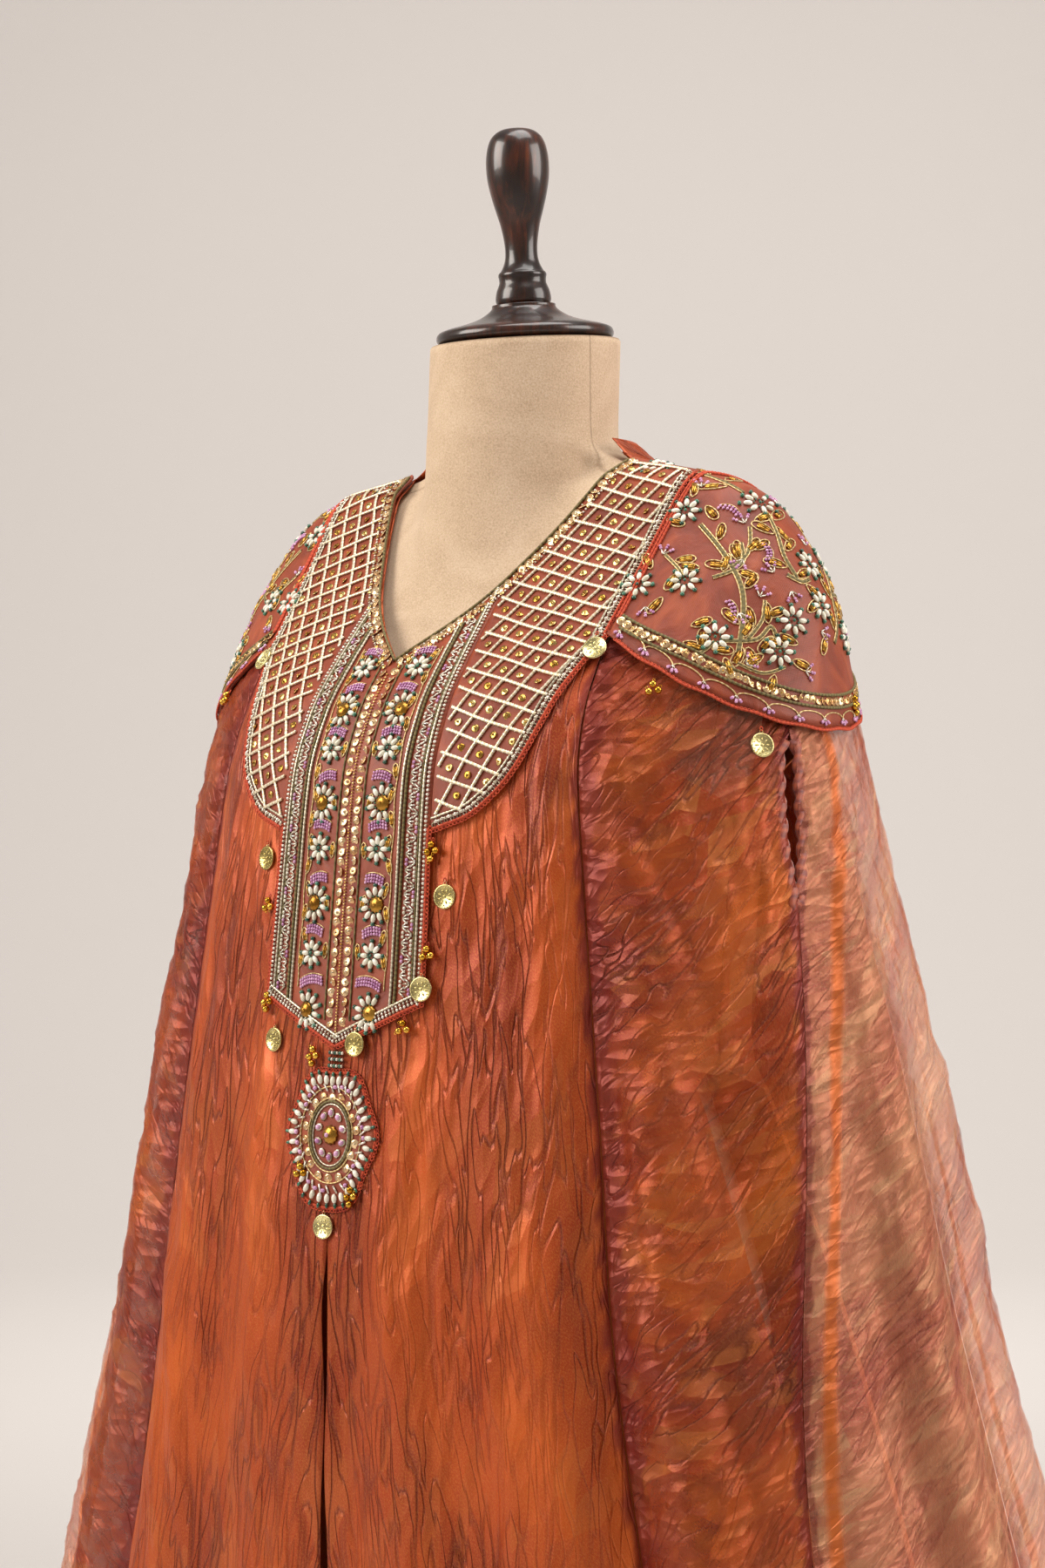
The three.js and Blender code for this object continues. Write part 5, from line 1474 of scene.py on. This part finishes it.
def workPlacket(side, hand):
    by, place = Needle("placket_" + hand, frontChart(side)), placketColumn

    def spot(share, z, off=0.0):  # across and up, on the chart
        return acrossPlacket(share, z) + off, float(upAt(z))
    u, v, angle = spaced(column(place["sequins"], 7, 12), 6.2, 1.5 if side > 0 else 0.5)
    by.sew("peachSequin", sequin, u, v, angle, 2.95, 0.5, 0.2)
    by.sew("silverBead", seed, u, v, angle, 0.7, 1.4)
    by.couch("oliveCord", column(place["sequinEdge"], 9, 12), 1.2, step=2.0)
    for z in placketMotifs["flower"]:
        flower(by, *spot(place["motif"], z))
    for z in placketMotifs["dome"]:
        by.sew("amber", dome, *spot(place["motif"], z, 1.5), 0, 5.6, 0.2)
        flower(by, *spot(place["motif"], z, 1.0), 8.4, (62, 298), None)
        by.sew("amber", seed, *spot(place["motif"], z, 1.5), 0, 1.4, 3.2)
    for k, z in enumerate(placketMotifs["bar"]):
        lilacBar(by, *spot(place["motif"] - 1, z), 0.22 * (-1) ** k * 0.6,
                 18 if z == placketMotifs["bar"][-1] else 13, 3, 0.22)
    vineZ = np.arange(1080, 1292, 2.0)
    by.couch("goldCord", onChart(acrossPlacket(place["vine"] + 0.6 * np.sin(vineZ / 6), vineZ), vineZ), 0.9,
             step=1.6)
    for k, z in enumerate(np.arange(1092, 1290, 14.5)):
        inward = k % 2
        leaf(by, *spot(place["vine"] - 0.5 - 4.5 * inward, z), math.radians(104 - 28 * inward), 10.5, 4.2)
    for k, z in enumerate(placketMotifs["innerLeaf"]):
        leaf(by, *spot(place["innerLeaf"], z, -0.3), math.radians(96 - 22 * (k % 2)), 10, 4)
    for share, finish in zip(place["cords"], ("silverCord", "oliveCord")):
        by.couch(finish, column(share, 6, 8), 1.9, step=0.9, twist=3.4)
    by.couch("silverCord", column(place["outerCord"], 6, 7), 1.8, step=0.9, twist=3.4)
    by.couch("oliveCord", column(place["outerCord"] - 2.0, 6, 8), 1.2, step=1.6)
    for k, z in enumerate(np.arange(1080, 1331, 4.9)):
        (inner, v), (outer, v) = spot(place["bandIn"], z), spot(place["bandOut"], z)
        if z > float(neckHeightAt(inner)) - 9:
            continue
        fromOuter = k % 3 == 1
        for tilt in (-0.62, 0.0, 0.62):
            a = math.pi * fromOuter + tilt
            by.sew("silverBead", bugle, *placed(outer if fromOuter else inner, v, a, 3.0), a, 2.2, 0.8)
        tip = inner + 1.2 if fromOuter else outer - 1.0
        by.sew("lilac" if k % 4 == 0 else "cream", seed, [tip, tip], [v - 1.3, v + 1.3], 0, 1.25, 0.9)
    edgeZ = np.arange(placketShape["corner"], float(placketTopZ) - 4, 2.0)
    edge = onChart(placketHalf(edgeZ), edgeZ)
    by.sew("silverBead", seed, *spaced(shifted(edge, 2.6), 2.7), 1.25, 0.9)
    picotEdge(by, edge[edge[:, 1] < upAt(cut["yokeFoot"]) + 2][::-1])
    footU = np.linspace(placketShape["footHalf"], 0.3, 40)
    foot = onChart(footU, footAt(footU))
    picotEdge(by, foot, out=0.8)
    for away, size in ((3.0, 1.25), (5.2, 1.0)):
        by.sew("silverBead", seed, *spaced(shifted(foot, -away), 2.8), size, 0.9)
    by.couch("silverCord", shifted(foot, -7.2), 1.7, step=0.9, twist=3.4)
    if side > 0:
        by.sew("goldSequin", seed, *column(0.01, 8, 10, 1.9).T, math.pi / 2, 0.85, 0.8)


for side, hand in ((1, "left"), (-1, "right")):
    latticeOn(side, hand)
    neckBorder(side, hand)
    workPlacket(side, hand)
print("yoke and placket worked")


# The medallion: its cloth, then rings of beads, sequins and cord.

medal = {"halfWidth": 37, "halfHeight": 42, "height": 991, "lift": 1.6, "scallops": 6, "scallop": 0.045,
         "foot": 0.16, "dropHeight": 1033}


def medalPoint(angle, size):  # angle from the top, in radians
    edge = 0.96 + medal["scallop"] * np.cos(medal["scallops"] * angle + math.pi) \
        + medal["foot"] * clamp(-np.cos(angle)) ** 6
    return (medal["halfWidth"] * size * edge * np.sin(angle),
            upAt(medal["height"] + medal["halfHeight"] * size * edge * np.cos(angle)))


def onMedal(turn, z):
    return cut["layerGap"] + medal["lift"] + 0 * z


def workMedallion():
    chart = frontChart()
    rings = np.linspace(1, 0.02, 9)[:, None]
    angle = np.linspace(0, 2 * math.pi, 73)[None, :-1]
    u, v = medalPoint(angle + 0 * rings, rings)
    turn, z = chart(u, v)
    lifts = cut["layerGap"] + medal["lift"] - 0.5 * (rings == 1), cut["layerGap"] + 0 * rings
    points = np.concatenate([garment.at(turn, z, lift + 0 * turn).reshape(-1, 3) for lift in lifts])
    around, count = angle.shape[1], turn.size
    sideFaces = ringFaces(len(rings) - 1, around) + [tuple(range(count - around, count))]
    faces = [face[::-1] for face in sideFaces] + [tuple(i + count for i in face) for face in sideFaces]
    faces += [(k, (k + 1) % around, count + (k + 1) % around, count + k) for k in range(around)]
    uv = np.stack([u * mm, v * mm], axis=-1).reshape(-1, 2)
    made = makeObject("medallion_cloth", points, faces, yokeCloth, np.concatenate([uv, uv]))
    settle(made, "yoke_cloth", "medallion")

    def ringOf(count, size, start=0.0):
        a = (np.arange(count) + start) * 2 * math.pi / count
        (x, y), (x2, y2) = medalPoint(a, size), medalPoint(a, size + 0.05)
        return x, y, np.arctan2(y2 - y, x2 - x)
    by, onPanel = Needle("medallion", chart, onMedal), Needle("medallion", chart, onCloth)
    by.sew("cream", oval, *ringOf(36, 0.855), 3.1, 1.1)
    inGroup = np.arange(36) % 6  # the middle bead of each scallop reaches furthest out
    by.sew("green", oval, *ringOf(36, 0.955 + 0.02 * np.cos((inGroup - 2.5) * 0.7)), 1.9, 0.9)
    x, y, away = ringOf(30, 0.735)
    by.sew("silverBead", bugle, x, y, away + 0.5, 2.7, 0.9)
    pink = np.arange(30) % 5 < 3
    by.sew("lilac", seed, *(values[pink] for values in ringOf(30, 0.755, 0.5)), 1.7, 1.4)
    by.sew("peachSequin", sequin, *ringOf(18, 0.585), 2.9, 0.5, 0.2)
    by.sew("silverBead", seed, *ringOf(18, 0.585), 0.7, 1.4)
    middle = float(upAt(medal["height"]))

    def ellipse(t, wide, high):
        return wide * np.sin(t), middle + high * np.cos(t)
    for wide, high, finish, width in ((25, 29.5, "goldCord", 1.0), (18.2, 22.6, "goldCord", 1.1),
                                      (16.2, 20.6, "oliveCord", 1.6), (14.4, 18.8, "silverCord", 1.1)):
        line = np.stack(ellipse(np.linspace(0, 2 * math.pi, 60), wide, high), axis=1)
        by.couch(finish, line, width, closed=True, step=1.2)
    t = np.arange(10) * 2 * math.pi / 10
    by.sew("lilac", seed, *ellipse(t, 10.2, 13.6), t, 2.2, 1.2)
    by.sew("silverCord", loop, *ellipse(t, 10.2, 13.6), t, 2.9, 0.6)
    by.sew("amber", dome, 0, middle, 0, 6.4, 0.2)
    by.sew("lilac", seed, 0, middle, 0, 1.7, 4.2)
    picotEdge(onPanel, np.stack(medalPoint(np.linspace(0, 2 * math.pi, 181), 1.0), axis=1), out=0.9)
    k = np.arange(9)  # nine green beads between the placket's point and the medallion
    x, y = (k % 3 - 1) * 4.2, upAt(medal["dropHeight"] + 4.0 * (k // 3))
    onPanel.sew("green", seed, x, y, 0, 1.6, 1.4)
    onPanel.sew("silverBead", seed, x + 2.1, y, 0, 1.2, 1.8)


workMedallion()
print("medallion")


# The shoulder caps: branches with leaves and flowers above a band of sequins and a chain.
# Places are turn and height on the left cap; the right one mirrors them.

capFlowers = ((37, 1373), (49.5, 1326), (39.5, 1328), (31.5, 1293), (15.8, 1285), (11, 1304), (-2.2, 1314),
              (-3.8, 1339), (3.8, 1377), (-20, 1342), (-15, 1296), (-33, 1318), (-46, 1346), (-29, 1372),
              (-41, 1300), (18, 1404))
capBranches = (  # places along each, root first, and the width at its root
    (((26, 1284), (25.5, 1318), (28.5, 1342), (34, 1364)), 3.4),
    (((28, 1336), (22, 1345), (17.5, 1362)), 2.4),
    (((33, 1330), (28, 1334), (24, 1340), (23, 1352)), 2.4),
    (((30, 1291), (22, 1292), (18, 1300), (15.8, 1287)), 2.6),
    (((24, 1292), (20.5, 1304), (19.5, 1316)), 2.2),
    (((10, 1332), (4.5, 1328), (-1, 1330)), 3.0),
    (((6, 1330), (8, 1344), (5.5, 1360), (4, 1372)), 2.8),
    (((44, 1345), (41, 1336), (40, 1330)), 2.0),
    (((35, 1282), (33, 1286), (31.5, 1291)), 2.0),
    (((14, 1276), (20, 1272), (27, 1279)), 1.8),
    (((-6, 1292), (-10, 1304), (-12, 1322), (-18, 1338)), 3.0),
    (((-12, 1322), (-20, 1322), (-28, 1318)), 2.4),
    (((-26, 1290), (-33, 1296), (-40, 1300)), 2.4),
    (((-36, 1326), (-40, 1338), (-45, 1345)), 2.4),
    (((-22, 1352), (-25, 1364), (-28, 1371)), 2.2),
    (((8, 1384), (12, 1394), (16, 1402)), 2.2),
)
capTriads = (  # turn, height and the way each points, in degrees
    (44.5, 1345, 110), (24, 1341, 300), (26.5, 1308, 250), (15, 1333, 60), (21, 1318, 120), (10.5, 1322, 250),
    (47, 1312, 260), (0.2, 1298, 200), (8, 1274, 190), (24, 1277, 150), (19, 1364, 70), (-9, 1352, 120),
    (-24, 1304, 250), (-36, 1284, 240), (-48, 1322, 270), (-36, 1360, 80), (27, 1388, 100), (-12, 1378, 90),
)
capBars = ((21.5, 1374, 0.5, 12), (28.0, 1311, 1.3, 10), (14, 1346, 1.5, 11), (-30, 1338, 0.7, 11),
           (-40, 1372, -0.4, 11))
capLeaves = (  # loose leaves between the branches: turn, height and angle
    (33, 1382, 100), (43, 1368, 200), (30, 1376, 230), (47, 1336, 60), (36, 1336, 10), (44, 1318, 300),
    (37, 1300, 160), (38, 1290, 200), (29, 1281, 250), (25, 1287, 300), (10, 1290, 20), (5, 1310, 150),
    (0, 1352, 60), (-8, 1330, 130), (14, 1366, 160), (8, 1392, 150), (-16, 1310, 40), (-24, 1332, 150),
    (-38, 1310, 40), (-44, 1330, 240), (-34, 1380, 30), (12, 1280, 200), (20, 1283, 330), (-2, 1296, 300),
)


def asPlaced(side):  # a chart whose places are turn and height
    return lambda turn, z: (mirrored(turn, side), z)


def workCap(side, hand):
    region = "cap_" + hand
    onCurve = Needle(region, asPlaced(side), onCap)

    def at(turn, z):
        return Needle(region, Patch(turn, z, side), onCap)
    for turn, z in capFlowers:
        flower(at(turn, z), radius=6.3)
    for places, width in capBranches:
        line = throughPoints(places)
        onCurve.couch("oliveCord", line, width, height=1.3, taper=True, step=1.6, sides=6)
        for edge in (-1, 1):
            onCurve.couch("goldCord", line, 0.9, shift=edge * width * 0.42, step=1.6)
        for k in range(4, len(line) - 3, 5):
            by = at(*line[k])
            away = by.chart.toward(*line[k + 1]) + (0.9 if (k // 5) % 2 else -0.9)
            leaf(by, *placed(0, 0, away, 2.6), away, 13.5, 6.4)
    for turn, z, angle in capTriads:
        triad(at(turn, z), 0, 0, math.radians(angle))
    for turn, z, angle, length in capBars:
        lilacBar(at(turn, z), 0, 0, angle, length, 2, 0.35)
    for turn, z, angle in capLeaves:
        leaf(at(turn, z), 0, 0, math.radians(angle), 14, 6.4)

    hemTurn = np.linspace(cut["frontSeam"] - 1.2, 1.2 - cut["frontSeam"], 300)
    hemRun = runAlong(garment.pointMm(hemTurn, capHem(hemTurn)))

    def hemChart(u, v):  # along the lower edge from the front, and up from it
        turn = np.interp(u, hemRun, hemTurn)
        return mirrored(turn, side), capHem(turn) + np.asarray(v, float) * 0.88
    by = Needle(region, hemChart, onCap)
    along = np.arange(4, hemRun[-1] - 4, 2.0)

    def above(rise):
        return np.stack([along, rise], axis=1)
    rise = 19 - 6 * smooth(60, 0, along)
    u, v, angle = spaced(above(rise), 5.0)
    by.sew("peachSequin", sequin, u, v, angle, 3.0, 0.6, 0.28)
    by.sew("goldSequin", seed, u, v, angle, 0.8, 1.5)
    for off in (-4.4, 4.4):
        by.couch("oliveCord", above(rise + off), 1.9, step=1.0, twist=3.4)
    pitch, start = 21.0, 5
    t = np.linspace(0, math.pi, 12)
    for k in range(int(hemRun[-1] / pitch)):
        arc = np.stack([start + pitch * (k + 0.5) - pitch / 2 * np.cos(t), 6.2 + 5.0 * np.sin(t)], axis=1)
        by.couch("goldCord", arc, 0.95, step=1.6)
        triad(by, start + pitch * k, 7.0, -math.pi / 2, 2.7)
    picotEdge(by, above(0.6 * np.sin(along / 5)), out=-0.4, pitch=2.6)
    seamZ = np.linspace(cut["capSeam"] + 10, capSeamTopZ - 1, 60)
    seamTurn = garment.turnAt(capSeamX(seamZ) + 2.0, seamZ)
    seam = np.concatenate([np.stack([seamTurn, seamZ], axis=1), np.stack([-seamTurn, seamZ], axis=1)[::-1]])
    for shift in (-0.9, 0.9):
        onCurve.couch("coral", seam, 1.8, shift=shift, step=0.9, twist=3.0)


for side, hand in ((1, "left"), (-1, "right")):
    workCap(side, hand)
print("caps worked")


def bindSlits():  # one rolled strip goes down one edge of each arm slit and up the other
    z = np.linspace(cut["slitTop"] - 3, cut["slitEnd"] - 6, 70)
    aside = 3.9 / (math.pi * garment.half(z) / 180)
    downEdge, upEdge = slitTurn(z) + slitHalfGap(z) + aside, slitTurn(z) - slitHalfGap(z) - aside
    line = np.concatenate([np.stack([downEdge, z], axis=1), np.stack([upEdge, z], axis=1)[::-1]])
    for side, hand in ((1, "left"), (-1, "right")):
        by = Needle("slit_" + hand, asPlaced(side), lambda turn, z: -2.6 + 0 * z)
        by.couch("boundEdge", line, 7.6, height=3.2, step=2.0, sides=10, twist=26.0)


bindSlits()


# Coins on thread loops, and bells in clusters.

coins = {  # node: across or turn, height and how far what it lies on stands out
    "coin_yoke_left": (139, 1286, 3.1), "coin_yoke_right": (-139, 1286, 3.1), "coin_placket_a": (74, 1138, 0),
    "coin_placket_b": (-78, 1159, 0), "coin_placket_c": (64, 1082, 3.8), "coin_placket_d": (-57, 1046, 0),
    "coin_placket_e": (17, 1047, 2.6), "coin_slit": (-3, 935, 0),
}
coinTurns = {"coin_cap_left": (19.5, 1229, 0), "coin_cap_right": (160.5, 1229, 0)}
for node, (x, z, over) in coins.items():
    coinTurns[node] = (float(garment.turnAt(x, z)), z, over)
bells = ((105.2, 1129), (75.5, 1166), (76, 1103), (103.2, 1070), (79.2, 1058), (93.5, 1039), (94.2, 967),
         (86.2, 956), (41.5, 1261), (-13.8, 1255), (138.5, 1261), (193.8, 1255))


def hangCoins():
    for k, (node, (turn, z, over)) in enumerate(coinTurns.items()):
        patch = Patch(turn, z)

        def onCoin(t, h, over=over):
            return 0.6 + over + 0 * h
        by = Needle(node.replace("coin_", "struck_coin_"), patch, onCoin)
        by.sew("gilt", struckCoin, 0, 0, math.radians(17 * k))
        by.sew("gilt", loop, 0, 8.3, 0, 1.5, 0.8)
        Needle("coin_threads", patch, onCoin).sew("coral", loop, 0, 10.0, 0, 1.5, 1.2)
    for k, (turn, z) in enumerate(bells):
        patch = Patch(turn, z)
        over = 3.4 if abs(turn) < 50 or turn > 130 else 3.0
        spots = ((-2.9, -0.6, 0.4), (2.7, -1.6, -0.5), (0.3, 3.2, 0.1), (0.4, -5.6, 0.2))[:3 + k % 2]
        for u, v, angle in spots:
            Needle("bells", patch, onCloth).sew("bellBrass", bell, u, v, angle + 0.4 * k, 2.35, over)
        Needle("coin_threads", patch, onCloth).sew("coral", loop, 0, 6.2, 0, 1.3, over * 0.6)


hangCoins()


def finishSewn():
    for (region, finish), held in sewn.items():
        material, slot, word = finishes[finish]
        name = region if word in ("coins", "bells") else region + "_" + word
        made = makeObject(name, np.concatenate(held["points"]), held["faces"], material,
                          values={"tone": np.concatenate(held["tone"])})
        settle(made, slot, *([region.replace("struck_", "")] if word == "coins" else []))


finishSewn()
print("coins, bells and every bead sewn on")


scene.view_settings.view_transform = "Standard"
